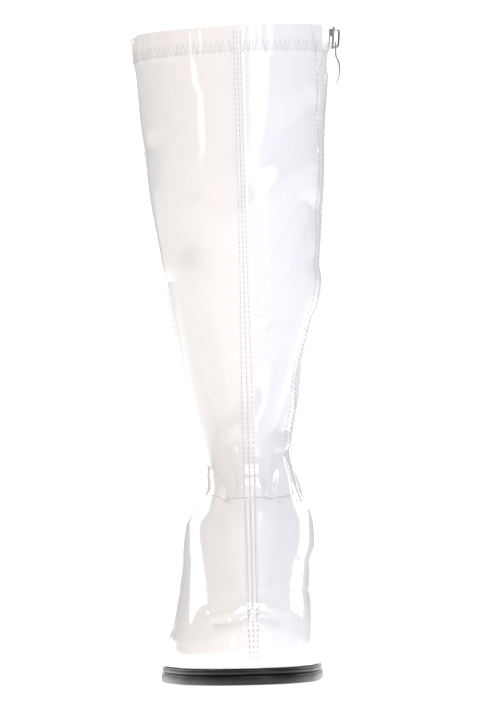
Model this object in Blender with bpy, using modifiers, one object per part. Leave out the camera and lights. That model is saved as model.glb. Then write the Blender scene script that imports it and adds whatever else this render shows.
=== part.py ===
"""Go go boot, right foot. Toe towards -Y, inner side of the foot towards +X, floor at z = 0.

The origin lies on the floor under the middle of the heel's top lift. Every size below is in
millimetres, and MM turns it into Blender's metres when a mesh is made.
"""
import math

import bmesh
import bpy
from mathutils import Matrix, Vector

MM = 0.001

# Length of the sole and how far pieces stay from each other
SOLE_LENGTH = 235.0
TOE_Y = -203.0
HEEL_Y = TOE_Y + SOLE_LENGTH
FIT_GAP = 0.3
FEATHER_GAP = 0.45
INSOLE_SIDE_GAP = 0.5
ZIP_SIDE_GAP = 0.5

# Walls and relief of the upper
UPPER_WALL = 1.4
FEATHER_INSET = 1.5
FEATHER_STRIP = 3.0
CUFF_START = 20.42
CUFF_STEP = 0.02
CUFF_RAISE = 0.7
SEAM_RAISE = 0.5
SEAM_HALF = 1.7
SEAM_FOOT = 2.7
RIM_SLOPE = 0.026

# Zip
ZIP_END_ROW = 4.0
ZIP_END_GAP = 0.18
ZIP_TOP_ROW = 20.76
ZIP_SLOT_HALF = 3.5
ZIP_TOOTH_HALF = 1.9
ZIP_TOOTH_RAISE = 0.8
ZIP_THICK = 1.0
SLIDER_LENGTH = 13.0
SLIDER_TOP_WIDTH = 8.4
SLIDER_BOTTOM_WIDTH = 6.6
SLIDER_PLATE = 1.5
SLIDER_POST_WIDTH = 2.4
SLIDER_MIDDLE_Z = 364.5
SLIDER_LEAN = math.radians(5.0)
BAIL_ROD = 0.75
BAIL_REACH = 2.7
BAIL_HALF_LENGTH = 5.2
PULL_LENGTH = 24.0
PULL_WIDTH = 6.4
PULL_PLATE = 1.1
PULL_NECK_WIDTH = 5.0
PULL_EYE_WIDTH = 2.7
PULL_EYE_LENGTH = 7.4
PULL_HOLE_RADIUS = 0.9

# Sole, insole and heel
INSOLE_THICK = 2.0
HEEL_BREAST_Y = -25.0
HEEL_BACK_Y = 25.0
HEEL_HALF_WIDTH = 25.5
HEEL_MIDDLE_X = 0.8
LIFT_HEIGHT = 6.0

# Outline of the sole: distance from the toe, reach to the outer side, reach to the inner side
SOLE_OUTLINE = (
    (0.0, 0.0, 0.0),
    (8.0, 21.5, 20.0),
    (18.0, 30.5, 27.0),
    (35.0, 40.5, 33.7),
    (60.0, 48.2, 37.2),
    (85.0, 51.8, 38.0),
    (105.0, 51.5, 37.0),
    (130.0, 47.0, 31.5),
    (155.0, 40.0, 26.0),
    (180.0, 33.5, 25.0),
    (205.0, 29.0, 27.0),
    (222.0, 22.8, 22.0),
    (235.0, 0.0, 0.0),
)

# Side view of the sole: y, height of its top, thickness
SOLE_PROFILE = (
    (-203.0, 14.7, 8.5),
    (-186.0, 13.3, 8.5),
    (-168.0, 11.9, 8.5),
    (-150.0, 10.7, 8.5),
    (-134.0, 9.4, 8.5),
    (-120.0, 8.5, 8.5),
    (-95.5, 8.5, 8.5),
    (-86.0, 10.6, 7.8),
    (-75.0, 17.2, 6.4),
    (-61.0, 29.4, 5.0),
    (-46.0, 43.0, 4.6),
    (-31.0, 55.5, 4.5),
    (-17.0, 65.0, 4.5),
    (-2.0, 72.2, 4.5),
    (14.0, 76.6, 4.5),
    (32.0, 79.0, 4.5),
)

# Section of the sole's edge, from the floor up: inset from the outline, share of the thickness
SOLE_EDGE = (
    (1.0, 0.00),
    (0.0, 0.10),
    (0.0, 0.54),
    (0.4, 0.58),
    (1.7, 0.60),
    (1.7, 0.64),
    (0.9, 0.67),
    (0.8, 0.90),
    (1.2, 0.97),
    (2.1, 1.00),
)

# Levels of the heel block: share of its height, inset, shift of the breast, shift of the back
HEEL_LEVELS = (
    (0.0, 0.0, 0.0, 0.0),
    (0.3, 0.5, -0.3, 0.2),
    (0.6, 0.4, -1.2, 1.6),
    (0.85, -0.4, -2.6, 3.6),
    (1.0, -1.4, -4.0, 5.0),
)

# Sections of the upper, from the feather line to the collar, one row each
SECTION_COLUMNS = (
    "front_y", "front_z", "back_y", "back_z", "outer", "inner",
    "sole_plan", "arch", "square", "forward", "zip_y",
)
UPPER_SECTIONS = (
    (-201.5, 15.0, 30.5, 79.1, 50.4, 36.6, 1.00, 1.00, 2.0, 0.00, -60.0),
    (-202.6, 24.0, 32.3, 87.5, 49.2, 36.5, 0.97, 0.97, 2.0, 0.00, -58.0),
    (-200.5, 34.0, 33.0, 94.5, 46.6, 35.7, 0.92, 0.93, 2.1, 0.05, -56.5),
    (-192.0, 44.0, 33.2, 100.0, 44.2, 34.7, 0.82, 0.88, 2.2, 0.10, -55.0),
    (-176.0, 54.0, 32.8, 104.5, 42.0, 33.8, 0.66, 0.80, 2.3, 0.16, -53.0),
    (-156.0, 63.5, 32.0, 108.5, 40.4, 34.6, 0.44, 0.70, 2.4, 0.20, -50.0),
    (-135.0, 73.5, 31.0, 112.5, 39.2, 36.8, 0.26, 0.55, 2.5, 0.24, -47.0),
    (-114.0, 84.5, 30.0, 116.5, 37.3, 36.0, 0.12, 0.40, 2.5, 0.26, -44.0),
    (-97.0, 93.5, 29.0, 120.5, 30.5, 32.0, 0.05, 0.25, 2.5, 0.24, -41.5),
    (-85.0, 100.5, 27.8, 124.5, 24.3, 28.8, 0.00, 0.12, 2.5, 0.16, -39.0),
    (-75.5, 109.0, 26.5, 129.5, 25.6, 27.0, 0.00, 0.05, 2.4, 0.10, -37.0),
    (-69.0, 119.0, 25.0, 135.5, 28.4, 25.2, 0.00, 0.00, 2.3, 0.05, -35.5),
    (-66.0, 131.0, 23.7, 142.5, 31.2, 26.9, 0.00, 0.00, 2.2, 0.02, -34.0),
    (-65.0, 149.0, 22.3, 154.5, 34.4, 30.6, 0.00, 0.00, 2.1, 0.00, -32.5),
    (-66.5, 172.0, 21.6, 174.0, 38.0, 32.5, 0.00, 0.00, 2.1, 0.00, -32.0),
    (-70.0, 196.0, 21.8, 197.0, 42.2, 37.8, 0.00, 0.00, 2.1, 0.00, -32.0),
    (-75.0, 222.0, 22.5, 223.0, 46.4, 43.1, 0.00, 0.00, 2.1, 0.00, -32.0),
    (-79.5, 250.0, 23.6, 250.0, 50.2, 45.9, 0.00, 0.00, 2.1, 0.00, -32.0),
    (-83.0, 280.0, 24.6, 280.0, 55.0, 48.2, 0.00, 0.00, 2.1, 0.00, -32.0),
    (-85.0, 312.0, 24.6, 311.5, 58.2, 50.2, 0.00, 0.00, 2.1, 0.00, -32.0),
    (-86.0, 340.0, 23.6, 341.0, 60.0, 52.6, 0.00, 0.00, 2.1, 0.00, -32.0),
    (-86.5, 367.2, 22.5, 370.4, 62.8, 54.6, 0.00, 0.00, 2.1, 0.00, -32.0),
)
COLLAR_ROW = float(len(UPPER_SECTIONS) - 1)

# How much wider each section is at the quarters and at the heel than its own round form,
# for the lower rows: outer quarter, outer heel, inner quarter, inner heel
HEEL_FORM = (
    (1.000, 1.000, 1.000, 1.000),
    (1.000, 1.005, 1.000, 1.010),
    (1.000, 1.020, 1.010, 1.035),
    (0.985, 1.005, 1.020, 1.055),
    (0.960, 0.980, 1.015, 1.075),
    (0.920, 0.945, 0.960, 1.045),
    (0.900, 0.935, 0.900, 0.975),
    (0.890, 0.960, 0.895, 0.985),
    (0.920, 1.090, 0.950, 1.050),
    (1.080, 1.240, 0.975, 1.065),
    (1.070, 1.170, 0.990, 1.075),
    (1.045, 1.070, 1.030, 1.110),
    (1.040, 1.030, 1.010, 1.060),
    (1.010, 1.000, 1.000, 1.010),
    (1.000, 1.000, 1.000, 1.000),
)
QUARTER_START = 0.32
QUARTER_SHARE = 0.66
HEEL_SHARE = 0.86

# Places along the sections where the mesh of the upper has a ring, between its two ends
RING_PLACES = (
    0.65, 1.2, 1.8, 2.4, 3.0, 3.5, 4.0, 4.5, 5.0, 5.6, 6.3, 7.0, 7.7, 8.4, 9.0, 9.6, 10.3,
    11.0, 12.0, 13.0, 14.0, 15.0, 16.0, 17.0, 18.0, 19.0,
)
COLUMNS_BEFORE_ZIP = 12
COLUMNS_BEHIND_ZIP = 10
OUTLINE_STATIONS = 44

OUTER_SIDE = -1.0
INNER_SIDE = 1.0


class SmoothCurve:
    """A smooth curve through a short table, which never swings past its rows."""

    def __init__(self, places, values):
        self.places = list(places)
        self.values = list(values)
        self.slopes = self.row_slopes()

    def row_slopes(self):
        gaps = [b - a for a, b in zip(self.places, self.places[1:])]
        secants = [(b - a) / gap for a, b, gap in zip(self.values, self.values[1:], gaps)]
        slopes = [secants[0]]
        for row in range(1, len(gaps)):
            before, behind = secants[row - 1], secants[row]
            if before * behind <= 0.0:
                slopes.append(0.0)
                continue
            weight_before = 2.0 * gaps[row] + gaps[row - 1]
            weight_behind = gaps[row] + 2.0 * gaps[row - 1]
            total = weight_before + weight_behind
            slopes.append(total / (weight_before / before + weight_behind / behind))
        slopes.append(secants[-1])
        return slopes

    def __call__(self, place):
        place = min(max(place, self.places[0]), self.places[-1])
        row = 0
        while row < len(self.places) - 2 and place > self.places[row + 1]:
            row += 1
        gap = self.places[row + 1] - self.places[row]
        t = (place - self.places[row]) / gap
        start, end = self.values[row], self.values[row + 1]
        lift_start = self.slopes[row] * gap
        lift_end = self.slopes[row + 1] * gap
        return (
            start * (1.0 + 2.0 * t) * (1.0 - t) ** 2
            + lift_start * t * (1.0 - t) ** 2
            + end * t * t * (3.0 - 2.0 * t)
            + lift_end * t * t * (t - 1.0)
        )


def mix(first, second, share):
    return first + (second - first) * share


def angle_at_share(share):
    """Angle round a half outline, 0 at the front and pi at the back."""
    return math.acos(min(max(1.0 - 2.0 * share, -1.0), 1.0))


def share_at_angle(angle):
    return 0.5 * (1.0 - math.cos(angle))


sole_top_at = SmoothCurve([row[0] for row in SOLE_PROFILE], [row[1] for row in SOLE_PROFILE])
sole_thick_at = SmoothCurve([row[0] for row in SOLE_PROFILE], [row[2] for row in SOLE_PROFILE])
outline_angles = [angle_at_share(row[0] / SOLE_LENGTH) for row in SOLE_OUTLINE]
outline_reach = {
    OUTER_SIDE: SmoothCurve(outline_angles, [row[1] for row in SOLE_OUTLINE]),
    INNER_SIDE: SmoothCurve(outline_angles, [row[2] for row in SOLE_OUTLINE]),
}
widest_reach = {
    OUTER_SIDE: max(row[1] for row in SOLE_OUTLINE),
    INNER_SIDE: max(row[2] for row in SOLE_OUTLINE),
}
section_curves = {
    name: SmoothCurve(range(len(UPPER_SECTIONS)), [row[column] for row in UPPER_SECTIONS])
    for column, name in enumerate(SECTION_COLUMNS)
}
heel_form_curves = [SmoothCurve(range(len(HEEL_FORM)), column) for column in zip(*HEEL_FORM)]
HEEL_FORM_COLUMNS = {OUTER_SIDE: (0, 1), INNER_SIDE: (2, 3)}


def sole_steepness(y):
    """How much longer the sole's top is than its plan at y."""
    step = 0.5
    rise = (sole_top_at(y + step) - sole_top_at(y - step)) / (2.0 * step)
    return math.sqrt(1.0 + rise * rise)


def sole_top(y, lift=0.0):
    return sole_top_at(y) + lift * sole_steepness(y)


def sole_bottom(y, lift=0.0):
    return sole_top_at(y) + (lift - sole_thick_at(y)) * sole_steepness(y)


def outline_point(side, angle, inset):
    """A point of the sole's plan outline, moved inwards by inset."""
    reach = outline_reach[side]
    step = 0.01
    before = max(angle - step, 0.0)
    behind = min(angle + step, math.pi)
    along = (share_at_angle(behind) - share_at_angle(before)) * SOLE_LENGTH
    across = reach(behind) - reach(before)
    length = math.hypot(along, across)
    at_end = angle <= 0.0 or angle >= math.pi
    x = reach(angle)
    y = TOE_Y + share_at_angle(angle) * SOLE_LENGTH
    if at_end:
        return 0.0, y + (inset if angle <= 0.0 else -inset)
    x -= inset * along / length
    y += inset * across / length
    return side * max(x, 0.0), y


def row_values(place):
    row = {name: curve(place) for name, curve in section_curves.items()}
    for side, columns in HEEL_FORM_COLUMNS.items():
        quarter, heel = (heel_form_curves[column](place) for column in columns)
        row[side] = SmoothCurve(
            (0.0, QUARTER_START, QUARTER_SHARE, HEEL_SHARE, 1.0), (1.0, 1.0, quarter, heel, heel))
    return row


def side_width(row, side):
    return row["outer"] if side == OUTER_SIDE else row["inner"]


def section_width(row, side, angle, raised=0.0):
    """Half width of a section of the upper at an angle round it."""
    round_share = 0.0
    if 0.0 < angle < math.pi:
        warped = angle + row["forward"] * math.sin(angle)
        round_share = math.sin(warped) ** (2.0 / row["square"])
    foot_share = outline_reach[side](angle) / widest_reach[side]
    full_width = (side_width(row, side) + raised) * row[side](share_at_angle(angle))
    return full_width * mix(round_share, foot_share, row["sole_plan"])


def angle_at_width(row, side, width):
    """Angle at which a section is a small width away from the front seam."""
    low, high = 0.0, 0.5 * math.pi
    for _ in range(40):
        middle = 0.5 * (low + high)
        if section_width(row, side, middle) < width:
            low = middle
        else:
            high = middle
    return 0.5 * (low + high)


def base_point(place, side, angle, raised=0.0):
    """A point of the upper's outer face at one place between feather line and collar."""
    row = row_values(place)
    share = share_at_angle(angle)
    x = side * section_width(row, side, angle, raised)
    y = mix(row["front_y"] - raised, row["back_y"] + raised, share)
    full_y = mix(TOE_Y, HEEL_Y, share)
    sole_line = mix(sole_top_at(TOE_Y), sole_top_at(HEEL_Y), share)
    z = mix(row["front_z"], row["back_z"], share)
    z += row["arch"] * (sole_top_at(full_y) - sole_line)
    z += RIM_SLOPE * x * (place / COLLAR_ROW) ** 8
    return Vector((x, y, z))


def feather_point(side, angle, lift):
    x, y = outline_point(side, angle, FEATHER_INSET)
    return Vector((x, y, sole_top(y, FEATHER_GAP) + lift))


def wall_normal(place, side, angle):
    """Outward direction of the upper's outer face."""
    step = 0.02
    up = base_point(place + step, side, angle) - base_point(place - step, side, angle)
    if angle < 2.0 * step:
        round_way = Vector((side, 0.0, 0.0))
    else:
        round_way = base_point(place, side, angle + step) - base_point(place, side, angle - step)
    normal = round_way.cross(up) * side
    return normal.normalized()


def wall_point(place, side, angle, lift=0.0, raised=0.0):
    point = base_point(place, side, angle, raised)
    if lift:
        point += wall_normal(place, side, angle) * lift
    return point


def spread(start, end, count):
    """Evenly spaced values strictly between start and end."""
    return [mix(start, end, (step + 1) / (count + 1)) for step in range(count)]


def zip_angle(row, offset):
    share = (row["zip_y"] + offset - row["front_y"]) / (row["back_y"] - row["front_y"])
    return angle_at_share(share)


def column_angles(place, side):
    """Angles of the mesh columns on one side, with what each adds to the seam's relief."""
    row = row_values(place)
    angles = [angle_at_width(row, side, SEAM_HALF), angle_at_width(row, side, SEAM_FOOT)]
    lifts = [SEAM_RAISE, 0.0]
    zip_front = zip_angle(row, -ZIP_SLOT_HALF)
    zip_back = zip_angle(row, ZIP_SLOT_HALF)
    angles += spread(angles[-1], zip_front, COLUMNS_BEFORE_ZIP)
    angles += [zip_front, zip_back]
    angles += spread(zip_back, math.pi, COLUMNS_BEHIND_ZIP)
    lifts += [0.0] * (len(angles) - len(lifts))
    return angles, lifts


ZIP_COLUMN = 2 + COLUMNS_BEFORE_ZIP + 1
SIDE_COLUMNS = 2 + COLUMNS_BEFORE_ZIP + 2 + COLUMNS_BEHIND_ZIP


def upper_ring(place, raised=0.0, feather_lift=None):
    """One ring of the upper's outer face, from the front seam round the inner side."""

    def point(side, angle, lift):
        if feather_lift is not None:
            return feather_point(side, angle, feather_lift)
        return wall_point(place, side, angle, lift, raised)

    relief = 0.0 if feather_lift is not None or raised else 1.0
    inner_angles, lifts = column_angles(place, INNER_SIDE)
    outer_angles, _ = column_angles(place, OUTER_SIDE)
    ring = [point(INNER_SIDE, 0.0, SEAM_RAISE * relief)]
    ring += [point(INNER_SIDE, a, h * relief) for a, h in zip(inner_angles, lifts)]
    ring.append(point(INNER_SIDE, math.pi, 0.0))
    outer = [point(OUTER_SIDE, a, h * relief) for a, h in zip(outer_angles, lifts)]
    ring += reversed(outer)
    return ring


def finish_mesh(name, points, faces, collection, material):
    mesh = bpy.data.meshes.new(name)
    mesh.from_pydata([Vector(point) * MM for point in points], [], faces)
    mesh.validate()
    shape = bmesh.new()
    shape.from_mesh(mesh)
    bmesh.ops.remove_doubles(shape, verts=shape.verts, dist=0.00001)
    shape.to_mesh(mesh)
    shape.free()
    mesh.materials.append(material)
    piece = bpy.data.objects.new(name, mesh)
    collection.objects.link(piece)
    return piece


def shade_round(piece, sharp_degrees=40.0):
    piece.data.shade_smooth()
    piece.data.set_sharp_from_angle(angle=math.radians(sharp_degrees))


def ring_faces(ring_count, ring_size, closed=True, skip=None):
    """Quads between stacked rings."""
    faces = []
    for ring in range(ring_count - 1):
        for column in range(ring_size if closed else ring_size - 1):
            if skip and skip(ring, column):
                continue
            following = (column + 1) % ring_size
            low, high = ring * ring_size, (ring + 1) * ring_size
            faces.append((low + column, low + following, high + following, high + column))
    return faces


def cap_faces(first, ring_size, upwards):
    """Strips from side to side that close a ring whose points mirror left and right."""
    faces = []
    half = ring_size // 2
    for step in range(half):
        near_inner, far_inner = step, step + 1
        near_outer, far_outer = (ring_size - step) % ring_size, ring_size - step - 1
        face = [near_inner, far_inner, far_outer, near_outer]
        face = [corner for place, corner in enumerate(face) if corner not in face[:place]]
        face = [first + corner for corner in face]
        faces.append(face if upwards else face[::-1])
    return faces


def add_wall(piece, thickness):
    wall = piece.modifiers.new("wall", "SOLIDIFY")
    wall.thickness = thickness * MM
    wall.offset = -1.0
    wall.use_even_offset = True
    wall.use_quality_normals = True


def make_upper(collection, material):
    rings = [upper_ring(0.0, feather_lift=0.0), upper_ring(0.0, feather_lift=FEATHER_STRIP)]
    places = list(RING_PLACES)
    zip_ring = len(rings) + places.index(ZIP_END_ROW)
    rings += [upper_ring(place) for place in places]
    rings.append(upper_ring(CUFF_START - CUFF_STEP))
    cuff_places = (CUFF_START, ZIP_TOP_ROW, COLLAR_ROW)
    rings += [upper_ring(place, raised=CUFF_RAISE) for place in cuff_places]
    ring_size = len(rings[0])

    def in_zip_slot(ring, column):
        return column == ZIP_COLUMN and ring >= zip_ring

    faces = ring_faces(len(rings), ring_size, skip=in_zip_slot)
    points = [point for ring in rings for point in ring]
    piece = finish_mesh("upper", points, faces, collection, material)
    add_wall(piece, UPPER_WALL)
    shade_round(piece)
    return piece


def foot_ring(inset, height_at):
    """A ring round the sole's outline, at the height given for each y."""
    inner = []
    outer = []
    for station in range(1, OUTLINE_STATIONS):
        angle = math.pi * station / OUTLINE_STATIONS
        inner.append(outline_point(INNER_SIDE, angle, inset))
        outer.append(outline_point(OUTER_SIDE, angle, inset))
    front = outline_point(INNER_SIDE, 0.0, inset)
    back = outline_point(INNER_SIDE, math.pi, inset)
    plan = [front] + inner + [back] + outer[::-1]
    return [Vector((x, y, height_at(y))) for x, y in plan]


def stack_piece(name, rings, collection, material):
    ring_size = len(rings[0])
    faces = ring_faces(len(rings), ring_size)
    faces += cap_faces(0, ring_size, upwards=False)
    faces += cap_faces((len(rings) - 1) * ring_size, ring_size, upwards=True)
    points = [point for ring in rings for point in ring]
    piece = finish_mesh(name, points, faces, collection, material)
    shade_round(piece)
    return piece


def make_sole(collection, material):
    rings = []
    for inset, share in SOLE_EDGE:
        rings.append(foot_ring(inset, lambda y: mix(sole_bottom(y), sole_top(y), share)))
    return stack_piece("sole", rings, collection, material)


def make_insole(collection, material):
    inset = FEATHER_INSET + UPPER_WALL + INSOLE_SIDE_GAP
    rings = [
        foot_ring(inset, lambda y: sole_top(y, FIT_GAP)),
        foot_ring(inset, lambda y: sole_top(y, FIT_GAP + INSOLE_THICK)),
    ]
    return stack_piece("insole", rings, collection, material)


def heel_ring(inset, breast_shift, back_shift, height_at):
    """A ring with a straight breast and a round back."""
    breast = HEEL_BREAST_Y + breast_shift
    back = HEEL_BACK_Y + back_shift
    half_width = HEEL_HALF_WIDTH - inset
    shoulder = mix(breast, back, 0.42)
    corner = 1.5
    inner = [(0.5 * half_width, breast), (half_width - corner, breast)]
    inner += [(half_width, y) for y in (breast + corner, mix(breast, shoulder, 0.55))]
    steps = 11
    for step in range(steps):
        turn = 0.5 * math.pi * step / steps
        across = half_width * math.cos(turn) ** 0.86
        along = math.sin(turn) ** 0.86
        inner.append((across, mix(shoulder, back, along)))
    plan = [(0.0, breast)] + inner + [(0.0, back)]
    plan += [(-x, y) for x, y in reversed(inner)]
    return [Vector((x + HEEL_MIDDLE_X, y, height_at(y))) for x, y in plan]


def make_heel(collection, material):
    low = LIFT_HEIGHT + FIT_GAP
    rings = []
    for share, inset, breast_shift, back_shift in HEEL_LEVELS:
        rings.append(heel_ring(
            inset, breast_shift, back_shift,
            lambda y: mix(low, sole_bottom(y, -FIT_GAP), share),
        ))
    return stack_piece("heel", rings, collection, material)


def make_top_lift(collection, material):
    chamfer = 0.6
    rings = [
        heel_ring(chamfer, chamfer, -chamfer, lambda y: 0.0),
        heel_ring(0.0, 0.0, 0.0, lambda y: chamfer),
        heel_ring(0.0, 0.0, 0.0, lambda y: LIFT_HEIGHT),
    ]
    return stack_piece("top_lift", rings, collection, material)


def make_zip_chain(collection, material):
    edge = ZIP_SLOT_HALF - ZIP_SIDE_GAP
    tape_inner = ZIP_TOOTH_HALF + 0.3
    columns = (
        (-edge, 0.0), (-tape_inner, 0.0), (-ZIP_TOOTH_HALF, ZIP_TOOTH_RAISE),
        (ZIP_TOOTH_HALF, ZIP_TOOTH_RAISE), (tape_inner, 0.0), (edge, 0.0),
    )
    start = ZIP_END_ROW + ZIP_END_GAP
    end = CUFF_START - CUFF_STEP
    places = [start] + [place for place in RING_PLACES if place > start] + [end]
    points = []
    for place in places:
        row = row_values(place)
        for offset, raised in columns:
            points.append(wall_point(place, INNER_SIDE, zip_angle(row, offset), raised))
    faces = ring_faces(len(places), len(columns), closed=False)
    piece = finish_mesh("zip_chain", points, faces, collection, material)
    add_wall(piece, ZIP_THICK)
    shade_round(piece)
    return piece


def join_by_union(target, tool, collection):
    union = target.modifiers.new("join " + tool.name, "BOOLEAN")
    union.operation = "UNION"
    union.solver = "EXACT"
    union.object = tool
    collection.objects.link(tool)
    tool.hide_render = True
    tool.display_type = "WIRE"


def box_mesh(name, low, high, taper=1.0):
    """A box from low to high whose lower end is narrower by taper."""
    shape = bmesh.new()
    bmesh.ops.create_cube(shape, size=1.0)
    for vertex in shape.verts:
        corner = [mix(low[axis], high[axis], vertex.co[axis] + 0.5) for axis in range(3)]
        if vertex.co.z < 0.0:
            corner[1] *= taper
        vertex.co = Vector(corner) * MM
    mesh = bpy.data.meshes.new(name)
    shape.to_mesh(mesh)
    shape.free()
    return mesh


def slider_frame():
    """Where the slider sits: on the wall's outer face at the top of the zip."""
    row = row_values(ZIP_TOP_ROW)
    face = wall_point(ZIP_TOP_ROW, INNER_SIDE, zip_angle(row, 0.0), raised=CUFF_RAISE)
    return Vector((face.x, face.y, SLIDER_MIDDLE_Z))


def slider_matrix():
    return Matrix.Translation(slider_frame() * MM) @ Matrix.Rotation(SLIDER_LEAN, 4, "Y")


def bail_mesh(plate_face):
    """The rod that arches over the slider's plate, closed and welded."""
    curve = bpy.data.curves.new("bail path", "CURVE")
    curve.dimensions = "3D"
    curve.bevel_depth = BAIL_ROD * MM
    curve.bevel_resolution = 2
    curve.use_fill_caps = True
    top = plate_face + BAIL_REACH
    path = (
        (plate_face - 0.6, -BAIL_HALF_LENGTH), (top - 1.0, -BAIL_HALF_LENGTH),
        (top, -BAIL_HALF_LENGTH + 1.0), (top, BAIL_HALF_LENGTH - 1.0),
        (top - 1.0, BAIL_HALF_LENGTH), (plate_face - 0.6, BAIL_HALF_LENGTH),
    )
    line = curve.splines.new("POLY")
    line.points.add(len(path) - 1)
    for point, (x, z) in zip(line.points, path):
        point.co = (x * MM, 0.0, z * MM, 1.0)
    carrier = bpy.data.objects.new("bail path", curve)
    bpy.context.scene.collection.objects.link(carrier)
    evaluated = carrier.evaluated_get(bpy.context.evaluated_depsgraph_get())
    mesh = bpy.data.meshes.new_from_object(evaluated)
    bpy.data.objects.remove(carrier)
    shape = bmesh.new()
    shape.from_mesh(mesh)
    bmesh.ops.remove_doubles(shape, verts=shape.verts, dist=0.000001)
    shape.to_mesh(mesh)
    shape.free()
    return mesh


def make_zip_slider(collection, cutters, material):
    half_length = 0.5 * SLIDER_LENGTH
    half_width = 0.5 * SLIDER_TOP_WIDTH
    plate_low = FIT_GAP + 0.2
    plate_face = plate_low + SLIDER_PLATE
    inner_face = -UPPER_WALL - CUFF_RAISE - 0.9
    taper = SLIDER_BOTTOM_WIDTH / SLIDER_TOP_WIDTH
    plate = box_mesh(
        "zip_slider", (plate_low, -half_width, -half_length),
        (plate_face, half_width, half_length), taper,
    )
    plate.materials.append(material)
    slider = bpy.data.objects.new("zip_slider", plate)
    collection.objects.link(slider)
    slider.matrix_world = slider_matrix()
    post_half = 0.5 * SLIDER_POST_WIDTH
    pieces = {
        "slider post": box_mesh(
            "slider post", (inner_face - 0.5, -post_half, 1.0),
            (plate_low + 0.5, post_half, half_length - 1.0),
        ),
        "slider back plate": box_mesh(
            "slider back plate", (inner_face - SLIDER_PLATE, -half_width, -half_length + 4.0),
            (inner_face, half_width, half_length), 0.9,
        ),
        "slider bail": bail_mesh(plate_face),
    }
    for name, mesh in pieces.items():
        tool = bpy.data.objects.new(name, mesh)
        tool.matrix_world = slider_matrix()
        join_by_union(slider, tool, cutters)
    shade_round(slider)
    return slider


def add_outline(curve, plan):
    line = curve.splines.new("POLY")
    line.points.add(len(plan) - 1)
    line.use_cyclic_u = True
    for point, (x, y) in zip(line.points, plan):
        point.co = (x * MM, y * MM, 0.0, 1.0)


def pull_outline():
    """Half lozenge from the eye down to the round tip, and its mirror."""
    top = 0.5 * PULL_PLATE
    half_neck = 0.5 * PULL_NECK_WIDTH
    widths = SmoothCurve(
        (-PULL_LENGTH, -PULL_LENGTH + 1.0, -PULL_LENGTH + 3.0, -14.0, -8.0, top - 0.3, top),
        (0.6, 1.9, 2.7, 0.5 * PULL_WIDTH, half_neck, half_neck, half_neck - 0.3),
    )
    steps = 22
    side = []
    for step in range(steps + 1):
        share = 0.5 * (1.0 - math.cos(math.pi * step / steps))
        down = mix(top, -PULL_LENGTH, share)
        side.append((widths(down), down))
    return side + [(-x, y) for x, y in reversed(side)]


def make_zip_pull(collection, material):
    curve = bpy.data.curves.new("zip_pull", "CURVE")
    curve.dimensions = "2D"
    curve.fill_mode = "BOTH"
    curve.extrude = 0.5 * PULL_PLATE * MM
    add_outline(curve, pull_outline())
    half_eye = 0.5 * PULL_EYE_WIDTH
    eye_top = -0.5 * PULL_PLATE
    eye_end = -PULL_EYE_LENGTH
    add_outline(curve, ((-half_eye, eye_top), (-half_eye, eye_end), (half_eye, eye_end),
                        (half_eye, eye_top)))
    hole = []
    for step in range(12):
        turn = 2.0 * math.pi * step / 12
        hole.append((PULL_HOLE_RADIUS * math.cos(turn),
                     -PULL_LENGTH + 2.6 + PULL_HOLE_RADIUS * math.sin(turn)))
    add_outline(curve, hole)
    curve.materials.append(material)
    pull = bpy.data.objects.new("zip_pull", curve)
    collection.objects.link(pull)
    plate_face = FIT_GAP + 0.2 + SLIDER_PLATE
    rod_middle = plate_face + 0.4 + 0.5 * PULL_PLATE
    hinge = slider_matrix() @ (Vector((rod_middle, 0.0, -2.6)) * MM)
    stand_upright = Matrix(((0, 0, 1), (1, 0, 0), (0, 1, 0))).to_4x4()
    pull.matrix_world = Matrix.Translation(hinge) @ stand_upright
    return pull


def plain_material(name, colour, roughness, metallic=0.0):
    material = bpy.data.materials.new(name)
    material.use_nodes = True
    shader = material.node_tree.nodes["Principled BSDF"]
    shader.inputs["Base Color"].default_value = (*colour, 1.0)
    shader.inputs["Roughness"].default_value = roughness
    shader.inputs["Metallic"].default_value = metallic
    return material


def clear_scene():
    for old in list(bpy.data.objects):
        bpy.data.objects.remove(old)


def main():
    clear_scene()
    boot = bpy.data.collections.new("go_go_boot")
    cutters = bpy.data.collections.new("cutters")
    bpy.context.scene.collection.children.link(boot)
    bpy.context.scene.collection.children.link(cutters)
    patent = plain_material("white patent", (0.93, 0.92, 0.93), 0.12)
    covered_heel = plain_material("covered heel", (0.92, 0.91, 0.92), 0.14)
    black_unit = plain_material("black sole unit", (0.015, 0.014, 0.017), 0.35)
    black_lift = plain_material("black top lift", (0.02, 0.02, 0.02), 0.6)
    sock = plain_material("pale sock", (0.82, 0.8, 0.77), 0.7)
    tape = plain_material("white zip", (0.88, 0.87, 0.87), 0.5)
    nickel = plain_material("nickel slider", (0.66, 0.65, 0.64), 0.22, 1.0)
    pull_nickel = plain_material("nickel pull", (0.68, 0.67, 0.66), 0.2, 1.0)
    make_upper(boot, patent)
    make_sole(boot, black_unit)
    make_insole(boot, sock)
    make_heel(boot, covered_heel)
    make_top_lift(boot, black_lift)
    make_zip_chain(boot, tape)
    make_zip_slider(boot, cutters, nickel)
    make_zip_pull(boot, pull_nickel)


main()
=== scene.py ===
"""Go go boot: dresses the right boot's frame with its patent upper, stitching, zip, sole and heel.

Sizes in the tables are millimetres. Toe towards -Y, inner side of the foot towards +X,
floor at z = 0. MM turns them into metres when a mesh is made.
"""

import functools
import math

import bmesh
import bpy
import numpy as np
from bpy.props import FloatProperty, FloatVectorProperty, IntProperty, PointerProperty
from mathutils import Matrix, Vector


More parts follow.
